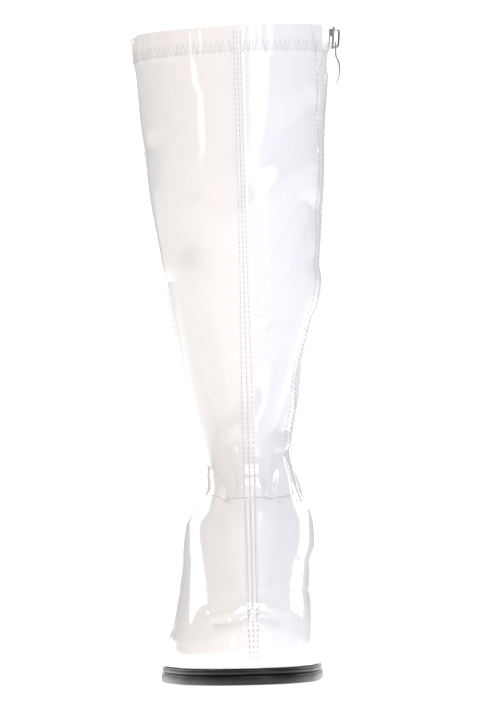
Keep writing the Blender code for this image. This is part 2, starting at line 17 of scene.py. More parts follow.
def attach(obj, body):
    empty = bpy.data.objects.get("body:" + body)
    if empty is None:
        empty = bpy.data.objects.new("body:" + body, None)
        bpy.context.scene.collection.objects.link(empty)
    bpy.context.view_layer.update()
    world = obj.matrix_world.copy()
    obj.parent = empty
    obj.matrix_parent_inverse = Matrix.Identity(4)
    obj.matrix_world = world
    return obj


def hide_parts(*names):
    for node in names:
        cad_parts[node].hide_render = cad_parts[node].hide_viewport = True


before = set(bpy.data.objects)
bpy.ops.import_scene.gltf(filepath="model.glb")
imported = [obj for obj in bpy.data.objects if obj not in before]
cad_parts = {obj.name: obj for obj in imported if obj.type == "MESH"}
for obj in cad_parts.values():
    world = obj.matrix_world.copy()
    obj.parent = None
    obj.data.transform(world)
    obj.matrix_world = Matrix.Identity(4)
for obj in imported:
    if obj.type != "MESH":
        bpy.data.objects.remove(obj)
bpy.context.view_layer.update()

bl_info = {
    "name": "Go Go Boot",
    "version": (1, 0, 0),
    "blender": (4, 5, 0),
    "location": "View3D > Sidebar > Boot",
    "description": "Dresses a knee high patent boot with its upper, seams, zip, sole and heel",
    "category": "Object",
}

MM = 0.001
TOE_Y = -203.0
HEEL_Y = 32.0
SOLE_LENGTH = HEEL_Y - TOE_Y
COLLAR_ROW = 21.0
CUFF_ROW = 20.415
RIM_SLANT = 0.026
CUFF_RISE = 0.2
FEATHER_INSET = 1.5
FEATHER_GAP = 0.45
FEATHER_STRIP = 3.0
UPPER_WALL = 1.4
LINING_GAP, LINING_DEPTH = 0.15, 0.5
# First place of the upper's sections and the gap of its rings before they are thinned out
FIRST_PLACE = 0.65
FINE_GAP = 0.6
# Rough length of one place near the vamp seam, and a distance that nothing on the boot reaches
PLACE_LENGTH = 11.0
FAR = 200.0
# How high threads lie over the face; stitches from the zip's middle and from the facing's edge
SEWN_LIFT = 0.06
ZIP_STITCHES, FACING_STITCHES = 4.9, 1.4
# Rows of the cuff's zigzag as lower and upper place, and the width of one step
ZIGZAG_ROWS = ((20.43, 20.72), (20.43, 20.53))
ZIGZAG_STEP = 1.7
# Where the zip's channel starts, half its width, and the ends of its tape and coils
CHANNEL_START = 3.9
CHANNEL_EDGE = 3.3
TAPE_ENDS = (4.1, 20.38)
COIL_ENDS = (4.12, 20.36)
COIL_WIDTH = 0.78
# Block heel: breast, back, half width, shift towards the inner side, height of the lift
HEEL_BREAST, HEEL_BACK, HEEL_HALF_WIDTH, HEEL_SHIFT = -25.0, 25.0, 25.5, 0.8
LIFT_TOP = 6.3
OUTER, INNER = -1.0, 1.0
# Bar that the pull tab swings on, the tab's length and how far it bows outwards
PULL_HINGE = (57.54, -32.002, 361.653)
PULL_LENGTH = 24.0
PULL_BOW, BOW_START = 2.0, 7.0
PULL_HALF_THICKNESS = 0.55
PULL_EDGE_ROUND = 0.15
# Half widths of the pull tab, by height over the bar
PULL_WIDTHS = (
    (-24.0, 0.6), (-23.0, 1.9), (-21.0, 2.7), (-14.0, 3.2), (-8.0, 2.5), (0.25, 2.5), (0.55, 2.2),
)
# Its eye: half width, top and bottom; its round hole: radius and height over the tip
PULL_EYE = (1.35, -0.55, -7.4)
PULL_HOLE = (0.9, 2.6)
# Camera: place, roll, and lens as the distance in pixels for a picture 714 pixels high
CAMERA_PLACE = (0.0023, -1.703, 0.179)
CAMERA_ROLL = math.radians(-1.6)
CAMERA_LENS = 2850.0 / 714.0
SENSOR = 36.0
WHITE = (1.0, 1.0, 1.0, 1.0)
# Centre and radii of the glow on the floor under the toe, in metres
GLOW_CENTRE = (0.0, -0.19, 0.0)
GLOW_NEAR, GLOW_FAR = 0.07, 0.16

# Outline of the sole: distance from the toe, reach to the outer side, reach to the inner side
SOLE_OUTLINE = (
    (0.0, 0.0, 0.0), (8.0, 21.5, 20.0), (18.0, 30.5, 27.0), (35.0, 40.5, 33.7),
    (60.0, 48.2, 37.2), (85.0, 51.8, 38.0), (105.0, 51.5, 37.0), (130.0, 47.0, 31.5),
    (155.0, 40.0, 26.0), (180.0, 33.5, 25.0), (205.0, 29.0, 27.0), (222.0, 22.8, 22.0),
    (235.0, 0.0, 0.0),
)
# Side view of the sole: y, height of its top, thickness
SOLE_PROFILE = (
    (-203.0, 14.7, 8.5), (-186.0, 13.3, 8.5), (-168.0, 11.9, 8.5), (-150.0, 10.7, 8.5),
    (-134.0, 9.4, 8.5), (-120.0, 8.5, 8.5), (-95.5, 8.5, 8.5), (-86.0, 10.6, 7.8),
    (-75.0, 17.2, 6.4), (-61.0, 29.4, 5.0), (-46.0, 43.0, 4.6), (-31.0, 55.5, 4.5),
    (-17.0, 65.0, 4.5), (-2.0, 72.2, 4.5), (14.0, 76.6, 4.5), (32.0, 79.0, 4.5),
)
# Section of the sole's edge, from the floor up: inset from the outline, share of the thickness
SOLE_EDGE = (
    (1.6, 0.0), (0.9, 0.02), (0.35, 0.06), (0.0, 0.13), (0.0, 0.30), (0.0, 0.46),
    (0.15, 0.52), (0.5, 0.565), (1.3, 0.595), (1.75, 0.61), (1.75, 0.63), (1.35, 0.65),
    (1.0, 0.675), (0.75, 0.72), (0.68, 0.80), (0.75, 0.88), (1.05, 0.945), (1.5, 0.98),
    (2.1, 1.0),
)
# Levels of the heel block: share of its height, inset, shift of the breast, shift of the back
HEEL_LEVELS = (
    (0.0, 0.0, 0.0, 0.0), (0.3, 0.5, -0.3, 0.2), (0.6, 0.4, -1.2, 1.6),
    (0.85, -0.4, -2.6, 3.6), (1.0, -1.4, -4.0, 5.0),
)
# Sections of the upper from the feather line to the collar: front y and z, back y and z,
# outer and inner half width, share of the sole's plan, arch, squareness, forward, zip's y
UPPER_SECTIONS = (
    (-201.5, 15.0, 30.5, 79.1, 50.4, 36.6, 1.00, 1.00, 2.0, 0.00, -60.0),
    (-202.6, 24.0, 32.3, 87.5, 49.2, 36.5, 0.97, 0.97, 2.0, 0.00, -58.0),
    (-200.5, 34.0, 33.0, 94.5, 46.6, 35.7, 0.92, 0.93, 2.1, 0.05, -56.5),
    (-192.0, 44.0, 33.2, 100.0, 44.2, 34.7, 0.82, 0.88, 2.2, 0.10, -55.0),
    (-176.0, 54.0, 32.8, 104.5, 42.0, 33.8, 0.66, 0.80, 2.3, 0.16, -53.0),
    (-156.0, 63.5, 32.0, 108.5, 40.4, 34.6, 0.44, 0.70, 2.4, 0.20, -50.0),
    (-135.0, 73.5, 31.0, 112.5, 39.2, 36.8, 0.26, 0.55, 2.5, 0.24, -47.0),
    (-114.0, 84.5, 30.0, 116.5, 37.3, 36.0, 0.12, 0.40, 2.5, 0.26, -44.0),
    (-97.0, 93.5, 29.0, 120.5, 30.5, 32.0, 0.05, 0.25, 2.5, 0.24, -41.5),
    (-85.0, 100.5, 27.8, 124.5, 24.3, 28.8, 0.00, 0.12, 2.5, 0.16, -39.0),
    (-75.5, 109.0, 26.5, 129.5, 25.6, 27.0, 0.00, 0.05, 2.4, 0.10, -37.0),
    (-69.0, 119.0, 25.0, 135.5, 28.4, 25.2, 0.00, 0.00, 2.3, 0.05, -35.5),
    (-66.0, 131.0, 23.7, 142.5, 31.2, 26.9, 0.00, 0.00, 2.2, 0.02, -34.0),
    (-65.0, 149.0, 22.3, 154.5, 34.4, 30.6, 0.00, 0.00, 2.1, 0.00, -32.5),
    (-66.5, 172.0, 21.6, 174.0, 38.0, 32.5, 0.00, 0.00, 2.1, 0.00, -32.0),
    (-70.0, 196.0, 21.8, 197.0, 42.2, 37.8, 0.00, 0.00, 2.1, 0.00, -32.0),
    (-75.0, 222.0, 22.5, 223.0, 46.4, 43.1, 0.00, 0.00, 2.1, 0.00, -32.0),
    (-79.5, 250.0, 23.6, 250.0, 50.2, 45.9, 0.00, 0.00, 2.1, 0.00, -32.0),
    (-83.0, 280.0, 24.6, 280.0, 55.0, 48.2, 0.00, 0.00, 2.1, 0.00, -32.0),
    (-85.0, 312.0, 24.6, 311.5, 58.2, 50.2, 0.00, 0.00, 2.1, 0.00, -32.0),
    (-86.0, 340.0, 23.6, 341.0, 60.0, 52.6, 0.00, 0.00, 2.1, 0.00, -32.0),
    (-86.5, 367.2, 22.5, 370.4, 62.8, 54.6, 0.00, 0.00, 2.1, 0.00, -32.0),
)
# How much wider the lower sections are: outer quarter, outer heel, inner quarter, inner heel
HEEL_FORM = (
    (1.000, 1.000, 1.000, 1.000), (1.000, 1.005, 1.000, 1.010), (1.000, 1.020, 1.010, 1.035),
    (0.985, 1.005, 1.020, 1.055), (0.960, 0.980, 1.015, 1.075), (0.920, 0.945, 0.960, 1.045),
    (0.900, 0.935, 0.900, 0.975), (0.890, 0.960, 0.895, 0.985), (0.920, 1.090, 0.950, 1.050),
    (1.080, 1.240, 0.975, 1.065), (1.070, 1.170, 0.990, 1.075), (1.045, 1.070, 1.030, 1.110),
    (1.040, 1.030, 1.010, 1.060), (1.010, 1.000, 1.000, 1.010), (1.000, 1.000, 1.000, 1.000),
)
QUARTER_START, QUARTER_SHARE, HEEL_SHARE = 0.32, 0.66, 0.86

# Creases of the upper, seen from the front: half width of the trough, its depth (negative
# for a ridge), then points x, z along it
FRONT_CREASES = (
    (3.6, 1.7, ((-25.0, 130.0), (-20.0, 119.0), (-13.6, 111.0), (-10.8, 106.0))),
    (2.4, 2.0, ((-13.3, 110.7), (-10.8, 106.4), (-12.6, 102.5), (-14.0, 99.6))),
    (4.5, -1.6, ((-21.5, 109.0), (-19.5, 102.0), (-21.0, 96.0))),
    (3.0, 2.4, ((24.5, 122.0), (27.5, 107.5), (30.0, 96.0))),
    (3.6, -1.3, ((18.5, 116.0), (21.5, 107.0), (23.0, 98.5))),
    (2.4, 1.5, ((16.8, 122.4), (12.9, 108.4), (10.5, 101.0))),
    (2.0, 1.0, ((9.0, 112.0), (9.5, 106.5), (12.5, 99.6))),
    (2.0, 0.9, ((29.0, 104.0), (24.0, 99.5), (17.5, 98.0))),
    (1.8, 1.9, ((-2.6, 43.5), (-6.5, 40.6), (-12.5, 38.4), (-21.0, 37.0))),
    (2.4, -0.9, ((-3.6, 47.2), (-11.0, 43.0), (-22.0, 40.7))),
    (1.5, 0.7, ((-5.0, 46.5), (-12.0, 45.2), (-20.0, 43.8))),
    (1.8, 1.9, ((3.4, 42.6), (8.0, 40.8), (14.5, 38.6))),
    (2.4, -0.8, ((4.0, 46.8), (12.0, 43.8), (20.0, 42.0))),
)
# Broad soft folds of the shaft, seen from the front, written like the creases
SHAFT_FOLDS = (
    (8.0, 1.2, ((42.0, 322.0), (26.0, 305.0), (14.0, 284.0))),
    (7.0, -1.0, ((3.0, 262.0), (20.0, 277.0), (40.0, 292.0))),
    (8.5, 2.3, ((10.0, 205.0), (22.0, 232.0), (38.0, 264.0))),
    (7.5, -2.5, ((3.0, 134.0), (18.0, 165.0), (44.0, 222.0))),
    (6.0, 2.0, ((20.0, 138.0), (27.0, 165.0), (38.0, 200.0))),
    (8.0, -2.2, ((-28.0, 232.0), (-16.0, 205.0), (-5.0, 142.0))),
    (9.0, 2.1, ((-46.0, 218.0), (-30.0, 160.0), (-17.0, 116.0))),
    (6.0, -0.8, ((-24.0, 266.0), (-11.0, 254.0))),
    (5.0, -0.3, ((-18.0, 328.0), (-16.0, 300.0))),
    (9.0, 1.1, ((-52.0, 300.0), (-38.0, 262.0), (-30.0, 236.0))),
)
# How far the front edge of the grey facing lies before the zip, by place
FACING_EDGE = (
    (3.6, 7.0), (5.5, 11.0), (7.0, 17.0), (9.0, 16.0), (11.0, 12.0), (13.0, 10.5),
    (16.0, 12.0), (18.8, 20.0), (21.0, 33.0),
)
# Edge of the stiff toe puff under the patent, seen from the front
PUFF_EDGE = (
    (-46.0, 24.0), (-41.4, 27.5), (-25.1, 28.6), (-14.7, 32.9), (-3.3, 35.3),
    (9.8, 33.8), (21.4, 31.9), (27.2, 27.2), (31.8, 16.3),
)
# Place of the vamp seam by angle round each side
VAMP_SEAM = {
    OUTER: ((0.0, 8.85), (0.7, 8.62), (1.2, 8.2), (1.6, 6.9), (1.9, 4.4), (2.15, 0.0)),
    INNER: ((0.0, 8.85), (0.7, 8.62), (1.2, 8.15), (1.7, 7.7), (3.2, 7.5)),
}


class SmoothTable:
    """A smooth curve through a short table, which never swings past its rows."""

    def __init__(self, places, values):
        x = self.places = np.asarray(places, float)
        y = self.values = np.asarray(values, float)
        gaps = np.diff(x)
        secants = np.diff(y) / gaps
        slopes = np.zeros(len(x))
        slopes[0], slopes[-1] = secants[0], secants[-1]
        before, behind = secants[:-1], secants[1:]
        weight_before = 2.0 * gaps[1:] + gaps[:-1]
        weight_behind = gaps[1:] + 2.0 * gaps[:-1]
        same_way = before * behind > 0.0
        safe_before = np.where(same_way, before, 1.0)
        safe_behind = np.where(same_way, behind, 1.0)
        middle = (weight_before + weight_behind) / (
            weight_before / safe_before + weight_behind / safe_behind)
        slopes[1:-1] = np.where(same_way, middle, 0.0)
        self.slopes = slopes

    def __call__(self, place):
        place = np.clip(np.asarray(place, float), self.places[0], self.places[-1])
        row = np.clip(np.searchsorted(self.places, place) - 1, 0, len(self.places) - 2)
        gap = self.places[row + 1] - self.places[row]
        t = (place - self.places[row]) / gap
        start, end = self.values[row], self.values[row + 1]
        return (
            start * (1.0 + 2.0 * t) * (1.0 - t) ** 2
            + self.slopes[row] * gap * t * (1.0 - t) ** 2
            + end * t * t * (3.0 - 2.0 * t)
            + self.slopes[row + 1] * gap * t * t * (t - 1.0)
        )


def mix(first, second, share):
    return first + (second - first) * share


def ease(low, high, value):
    """0 below low, 1 above high, smooth between."""
    t = np.clip((value - low) / (high - low), 0.0, 1.0)
    return t * t * (3.0 - 2.0 * t)


def between(first, last, count):
    """Evenly spaced steps from first to last, without the two ends."""
    return [mix(first, last, t) for t in np.linspace(0.0, 1.0, count + 2)[1:-1]]


def lengths_along(points):
    """Distance walked from the first point to each point of a line."""
    steps = np.linalg.norm(np.diff(points, axis=0), axis=1)
    return np.concatenate(([0.0], np.cumsum(steps)))


def bump_at(distance, half_width):
    return np.exp(-(distance / half_width) ** 2)


def angle_at_share(share):
    return np.arccos(np.clip(1.0 - 2.0 * np.asarray(share, float), -1.0, 1.0))


def share_at_angle(angle):
    return 0.5 * (1.0 - np.cos(angle))


def smooth_tables(rows):
    """A smooth table of each further column against the first."""
    places, *columns = zip(*rows)
    return [SmoothTable(places, column) for column in columns]


sole_top_at, sole_thick_at = smooth_tables(SOLE_PROFILE)
outline_places, *reaches = zip(*SOLE_OUTLINE)
outline_angles = angle_at_share(np.array(outline_places) / SOLE_LENGTH)
outline_reach = {side: SmoothTable(outline_angles, reach)
                 for side, reach in zip((OUTER, INNER), reaches)}
widest_reach = {side: max(reach) for side, reach in zip((OUTER, INNER), reaches)}
section_tables, heel_tables = (
    [SmoothTable(range(len(rows)), column) for column in zip(*rows)]
    for rows in (UPPER_SECTIONS, HEEL_FORM))
(facing_edge,) = smooth_tables(FACING_EDGE)
vamp_tables = {side: smooth_tables(rows)[0] for side, rows in VAMP_SEAM.items()}


def sole_steepness(y):
    rise = sole_top_at(y + 0.5) - sole_top_at(y - 0.5)
    return np.sqrt(1.0 + rise * rise)


def sole_top(y, lift=0.0):
    return sole_top_at(y) + lift * sole_steepness(y)


def sole_bottom(y, lift=0.0):
    return sole_top_at(y) + (lift - sole_thick_at(y)) * sole_steepness(y)


def outline_points(side, angle, inset):
    """Points of the sole's plan outline, moved inwards by inset."""
    reach = outline_reach[side]
    before = np.maximum(angle - 0.01, 0.0)
    behind = np.minimum(angle + 0.01, math.pi)
    along = (share_at_angle(behind) - share_at_angle(before)) * SOLE_LENGTH
    across = reach(behind) - reach(before)
    length = np.hypot(along, across)
    x = np.maximum(reach(angle) - inset * along / length, 0.0)
    y = TOE_Y + share_at_angle(angle) * SOLE_LENGTH + inset * across / length
    return side * x, y


def heel_swell(place, side, share):
    """How much wider the section is at that share of its length."""
    first = 0 if side == OUTER else 2
    quarter, heel = heel_tables[first](place), heel_tables[first + 1](place)
    to_quarter = ease(QUARTER_START, QUARTER_SHARE, share)
    to_heel = ease(QUARTER_SHARE, HEEL_SHARE, share)
    return mix(mix(1.0, quarter, to_quarter), heel, to_heel)


def section_width(place, side, angle):
    width = section_tables[4 if side == OUTER else 5](place)
    sole_plan, square, forward = (section_tables[k](place) for k in (6, 8, 9))
    warped = angle + forward * np.sin(angle)
    round_share = np.clip(np.sin(warped), 0.0, 1.0) ** (2.0 / square)
    foot_share = outline_reach[side](angle) / widest_reach[side]
    return width * heel_swell(place, side, share_at_angle(angle)) * mix(
        round_share, foot_share, sole_plan)


def base_points(place, side, angle):
    """Points of the upper's outer face, as an array with x, y, z last."""
    front_y, front_z, back_y, back_z = (section_tables[k](place) for k in range(4))
    share = share_at_angle(angle)
    x = side * section_width(place, side, angle)
    y = mix(front_y, back_y, share)
    sole_line = mix(sole_top_at(TOE_Y), sole_top_at(HEEL_Y), share)
    arch = section_tables[7](place)
    z = mix(front_z, back_z, share)
    z = z + arch * (sole_top_at(mix(TOE_Y, HEEL_Y, share)) - sole_line)
    z = z + RIM_SLANT * x * (place / COLLAR_ROW) ** 8
    return np.stack(np.broadcast_arrays(x, y, z), -1)


def feather_points(side, angle, lift):
    x, y = outline_points(side, angle, FEATHER_INSET)
    return np.stack((x, y, sole_top(y, FEATHER_GAP) + lift), -1)


def angle_at_width(place, side, width):
    """Angle at which the section is a small width away from the front seam."""
    low, high = np.zeros_like(place), np.full_like(place, 0.5 * math.pi)
    for _ in range(30):
        middle = 0.5 * (low + high)
        short = section_width(place, side, middle) < width
        low, high = np.where(short, middle, low), np.where(short, high, middle)
    return 0.5 * (low + high)


def zip_angle(place, offset):
    front_y, back_y, zip_y = (section_tables[k](place) for k in (0, 2, 10))
    return angle_at_share((zip_y + offset - front_y) / (back_y - front_y))


def front_seam_width(place):
    """Half the width between the outer lines of the front seam."""
    return mix(mix(2.2, 2.9, ease(5.0, 10.5, place)), 1.85, ease(12.5, 18.0, place))


def smooth_rows(points, rounds):
    """Evens a stack of rings along its length, with both ends kept."""
    for _ in range(rounds):
        points[1:-1] += 0.5 * (0.5 * (points[:-2] + points[2:]) - points[1:-1])
    return points


def grid_normals(points):
    """Outward normals of a grid of rings that run from the front seam round the inner side."""
    round_way = np.roll(points, -1, axis=1) - np.roll(points, 1, axis=1)
    up = np.gradient(points, axis=0)
    normal = np.cross(round_way, up)
    return normal / np.maximum(np.linalg.norm(normal, axis=2, keepdims=True), 1e-9)


SEAM_WIDTHS = (0.4, 0.8, 1.2, 1.6, 2.0, 2.4, 2.8, 3.3, 4.0)
ZIP_OFFSETS = (-7.0, -5.6, -4.6, -3.9, -3.6, -3.35, -3.1, -1.6, 0.0, 1.6,
               3.1, 3.35, 3.6, 3.9, 4.6, 5.6, 7.0)


class Skin:
    """The upper's outer face as a dense grid, with what each point lies on."""

    def __init__(self, row_gap, front_columns, back_columns, outer_columns):
        rough = np.linspace(FIRST_PLACE, COLLAR_ROW, 400)
        length = lengths_along(base_points(rough, OUTER, np.full_like(rough, 0.8)))
        count = int(length[-1] / FINE_GAP)
        places = np.interp(np.linspace(0.0, length[-1], count), length, rough)
        inner_angles, outer_angles = self.columns(
            places, front_columns, back_columns, outer_columns)
        sides = ((INNER, inner_angles), (OUTER, outer_angles))
        ring = np.concatenate([base_points(places[:, None], side, angles)
                               for side, angles in sides], axis=1)
        foot = np.array([
            np.concatenate([feather_points(side, angles[0], lift) for side, angles in sides])
            for lift in np.linspace(0.0, FEATHER_STRIP, 6)])
        points = np.concatenate((foot, between(foot[-1], ring[0], 8), ring))
        lead = len(points) - len(ring)
        lead_places = np.linspace(-0.2, places[0], lead, endpoint=False)
        self.places = np.concatenate((lead_places, places))
        points = smooth_rows(points, 40)
        angles = np.concatenate((inner_angles, outer_angles), axis=1)
        angles = np.concatenate((np.repeat(angles[:1], lead, axis=0), angles))
        step = max(1, int(round(row_gap / FINE_GAP)))
        keep = range(0, len(points), step)
        cuff = np.searchsorted(self.places, CUFF_ROW)
        keep = sorted(set(keep) | set(range(cuff - 4, cuff + 5)) | {len(points) - 1})
        self.places = self.places[keep]
        self.points = points[keep]
        self.angles = angles[keep]
        self.sides = np.concatenate([np.full(angles.shape[1], side) for side, angles in sides])
        self.normals = grid_normals(self.points)
        self.flat = self.points + self.normals * self.cuff_step()[..., None]
        self.face = self.points + self.normals * (self.cuff_step() + self.relief())[..., None]

    def columns(self, places, front_columns, back_columns, outer_columns):
        near = [np.zeros_like(places)]
        near += [angle_at_width(places, INNER, w) for w in SEAM_WIDTHS]
        zips = [zip_angle(places, offset) for offset in ZIP_OFFSETS]
        front = between(near[-1], zips[0], front_columns)
        back = between(zips[-1], math.pi, back_columns)
        inner = np.stack(near + front + zips + back, axis=1)
        far = [angle_at_width(places, OUTER, w) for w in SEAM_WIDTHS]
        side = between(far[-1], math.pi, outer_columns)
        outer = np.stack([np.full_like(places, math.pi)] + side[::-1] + far[::-1], axis=1)
        return inner, outer

    def cuff_step(self):
        """How far the cuff stands over the shaft, over the elastic inside it."""
        rise = ease(CUFF_ROW - 0.08, CUFF_ROW + 0.08, self.places)
        return CUFF_RISE * rise[:, None]

    def zip_distance(self):
        """How far each point is from the middle of the zip, across it."""
        zip_y = section_tables[10](self.places)[:, None]
        far = np.where(self.sides[None, :] == INNER, 0.0, FAR)
        return self.points[..., 1] - zip_y + far

    def facing_distance(self):
        """How far each point is behind the front edge of the facing beside the zip."""
        return self.zip_distance() + facing_edge(self.places)[:, None]

    def seam_distance(self):
        """Signed distance from the front seam, large behind the widest line."""
        behind = np.where(self.angles > 1.2, FAR, 0.0)
        return self.points[..., 0] + behind

    def vamp_distance(self):
        """How far each point is above the vamp seam, roughly in millimetres."""
        above = np.empty(self.points.shape[:2])
        for side in (OUTER, INNER):
            here = self.sides == side
            line = vamp_tables[side](self.angles[:, here])
            above[:, here] = (self.places[:, None] - line) * PLACE_LENGTH
        return above

    def front_distance(self, path):
        """Distance from a path drawn on the front view, large on faces turned away."""
        x, z = self.points[..., 0], self.points[..., 2]
        nearest = np.full(x.shape, 1e3)
        for (ax, az), (bx, bz) in zip(path, path[1:]):
            dx, dz = bx - ax, bz - az
            t = np.clip(((x - ax) * dx + (z - az) * dz) / (dx * dx + dz * dz), 0.0, 1.0)
            nearest = np.minimum(nearest, np.hypot(x - ax - t * dx, z - az - t * dz))
        return nearest + 60.0 * ease(0.02, -0.25, -self.normals[..., 1])

    def front_seam_relief(self):
        """The ridge of the front seam, its middle trough and the dents of its outer lines."""
        seam = np.abs(self.seam_distance())
        lift = 0.45 * ease(3.3, 2.5, seam) - 0.42 * bump_at(seam, 0.42)
        lift -= 0.12 * bump_at(seam - 2.0, 0.3)
        on_foot = ease(40.0, 20.0, np.abs(self.places[:, None] - 4.4) * 9.0)
        return lift * (1.0 - 0.35 * (1.0 - on_foot))

    def zip_relief(self):
        """The zip's channel with its lips, and the step at the front edge of the facing."""
        across, facing = np.abs(self.zip_distance()), self.facing_distance()
        lift = 0.28 * ease(6.6, 4.2, across) * ease(CHANNEL_EDGE, 3.7, across)
        lift -= 0.95 * ease(3.62, 3.2, across)
        lift += 0.25 * ease(0.8, -0.8, facing) - 0.3 * bump_at(facing, 0.7)
        return lift * ease(CHANNEL_START - 0.04, CHANNEL_START + 0.12, self.places)[:, None]

    def vamp_relief(self):
        """The vamp lies over the shaft, with a dent along its seam."""
        vamp = self.vamp_distance()
        reach = np.where(self.sides[None, :] == INNER, ease(0.0, -6.0, self.zip_distance()), 1.0)
        return reach * (0.3 * ease(0.5, -0.5, vamp) * ease(-60.0, -25.0, vamp)
                        - 0.3 * bump_at(vamp, 0.55))

    def drawn_relief(self):
        """The creases and folds drawn on the front view, and the edge of the toe puff."""
        lift = 0.35 * bump_at(self.front_distance(PUFF_EDGE), 2.2)
        for half_width, depth, path in FRONT_CREASES + SHAFT_FOLDS:
            lift -= depth * bump_at(self.front_distance(path), half_width)
        return lift

    def slack_relief(self):
        """Gathers of the cuff, slow waves of the shaft and small folds round the ankle."""
        x, y, z = np.moveaxis(self.points, -1, 0)
        turn = np.arctan2(x, -(y + 30.0))
        on_cuff = ease(20.25, 20.6, self.places)[:, None]
        lift = on_cuff * 0.14 * (np.sin(31.0 * turn + 2.0 * np.sin(3.0 * turn))
                                 + 0.6 * np.sin(53.0 * turn + 1.1))
        on_shaft = (ease(11.0, 14.0, self.places) * ease(20.3, 18.5, self.places))[:, None]
        wave = np.sin(0.052 * z + 1.9 * turn + 0.8) * np.cos(2.0 * turn - 0.021 * z)
        lift += on_shaft * 0.45 * wave
        on_ankle = bump_at(z - 125.0, 26.0) * ease(16.0, 9.0, self.places)[:, None]
        folds = np.sin(0.21 * z + 2.2 * turn) * 0.35 + np.sin(0.37 * z - 3.1 * turn + 1.0) * 0.18
        return lift + on_ankle * folds * ease(5.0, 12.0, np.abs(self.seam_distance()))

    def relief(self):
        return (self.front_seam_relief() + self.zip_relief() + self.vamp_relief()
                + self.drawn_relief() + self.slack_relief())

    def at(self, place, side, angle, lift=0.0):
        """Points lifted off the finished face, at places and angles of one side."""
        here = np.flatnonzero(self.sides == side)
        place, angle = np.broadcast_arrays(np.asarray(place, float), np.asarray(angle, float))
        row = np.clip(np.searchsorted(self.places, place) - 1, 0, len(self.places) - 2)
        t = np.clip((place - self.places[row])
                    / (self.places[row + 1] - self.places[row]), 0.0, 1.0)
        found = np.empty((2, len(place), 3))
        for k in range(len(place)):
            known, ring, turned = (mix(grid[row[k]][here], grid[row[k] + 1][here], t[k])
                                   for grid in (self.angles, self.face, self.normals))
            order = np.argsort(known)
            for out, values in zip(found, (ring, turned)):
                out[k] = [np.interp(angle[k], known[order], values[order, c]) for c in range(3)]
        points, normals = found
        return points + normals / np.linalg.norm(normals, axis=1, keepdims=True) * lift


@functools.lru_cache(maxsize=1)
def skin_of(row_gap, front_columns, back_columns, outer_columns):
    return Skin(row_gap, front_columns, back_columns, outer_columns)


def upper_skin(sizes):
    """The upper's skin at the panel's sizes, worked out again only when they change."""
    return skin_of(sizes.row_gap / MM, sizes.front_columns, sizes.back_columns,
                   sizes.outer_columns)


def ring_quads(rings, size, closed_ends=False):
    """Quads between stacked rings; with closed_ends the last ring meets the first."""
    count = rings if closed_ends else rings - 1
    ring, column = np.meshgrid(np.arange(count), np.arange(size), indexing="ij")
    following, above = (column + 1) % size, (ring + 1) % rings
    quads = np.stack((ring * size + column, ring * size + following,
                      above * size + following, above * size + column), -1)
    return quads.reshape(-1, 4)


def new_piece(name, points, faces, material, body, replaced=()):
    mesh = bpy.data.meshes.new(name)
    points = np.asarray(points, float).reshape(-1, 3) * MM
    mesh.from_pydata(points.tolist(), [], [list(map(int, face)) for face in faces])
    mesh.validate()
    mesh.shade_smooth()
    return settle(name, mesh, material, body, replaced)


def settle(name, mesh, material, body, replaced=()):
    """A finished mesh as a piece of its own, attached to its body, with the parts it replaces
    hidden.
    """
    mesh.name = name
    mesh.materials.clear()
    mesh.materials.append(material)
    piece = bpy.data.objects.new(name, mesh)
    bpy.context.scene.collection.objects.link(piece)
    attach(piece, body)
    if replaced:
        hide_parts(*replaced)
    return piece


class Nodes:
    """A short way to write a material's nodes."""

    def __init__(self, name):
        self.material = bpy.data.materials.new(name)
        self.material.use_nodes = True
        self.tree = self.material.node_tree
        self.shader = self.tree.nodes["Principled BSDF"]

    def fill(self, node, values):
        """Set a node's sockets by name, with _ for a space, or else its own settings."""
        for key, value in values.items():
            if key.replace("_", " ") in node.inputs:
                node.inputs[key.replace("_", " ")].default_value = value
            else:
                setattr(node, key, value)
        return node

    def add(self, kind, **values):
        return self.fill(self.tree.nodes.new(kind), values)

    def set(self, **values):
        self.fill(self.shader, values)

    def link(self, source, target):
        self.tree.links.new(source, target)

    def object_space(self):
        return self.add("ShaderNodeTexCoord").outputs["Object"]

    def noise(self, scale, detail=2.0, roughness=0.5):
        node = self.add("ShaderNodeTexNoise", Scale=scale, Detail=detail, Roughness=roughness)
        self.link(self.object_space(), node.inputs["Vector"])
        return node.outputs["Fac"]

    def ramp(self, source, stops):
        node = self.add("ShaderNodeValToRGB")
        while len(node.color_ramp.elements) < len(stops):
            node.color_ramp.elements.new(0.5)
        for element, (place, colour) in zip(node.color_ramp.elements, stops):
            element.position = place
            element.color = (*colour, 1.0)
        self.link(source, node.inputs["Fac"])
        return node.outputs["Color"]

    def bump(self, height, distance, strength=1.0, before=None):
        node = self.add("ShaderNodeBump", Strength=strength, Distance=distance)
        self.link(height, node.inputs["Height"])
        if before is not None:
            self.link(before, node.inputs["Normal"])
        return node.outputs["Normal"]


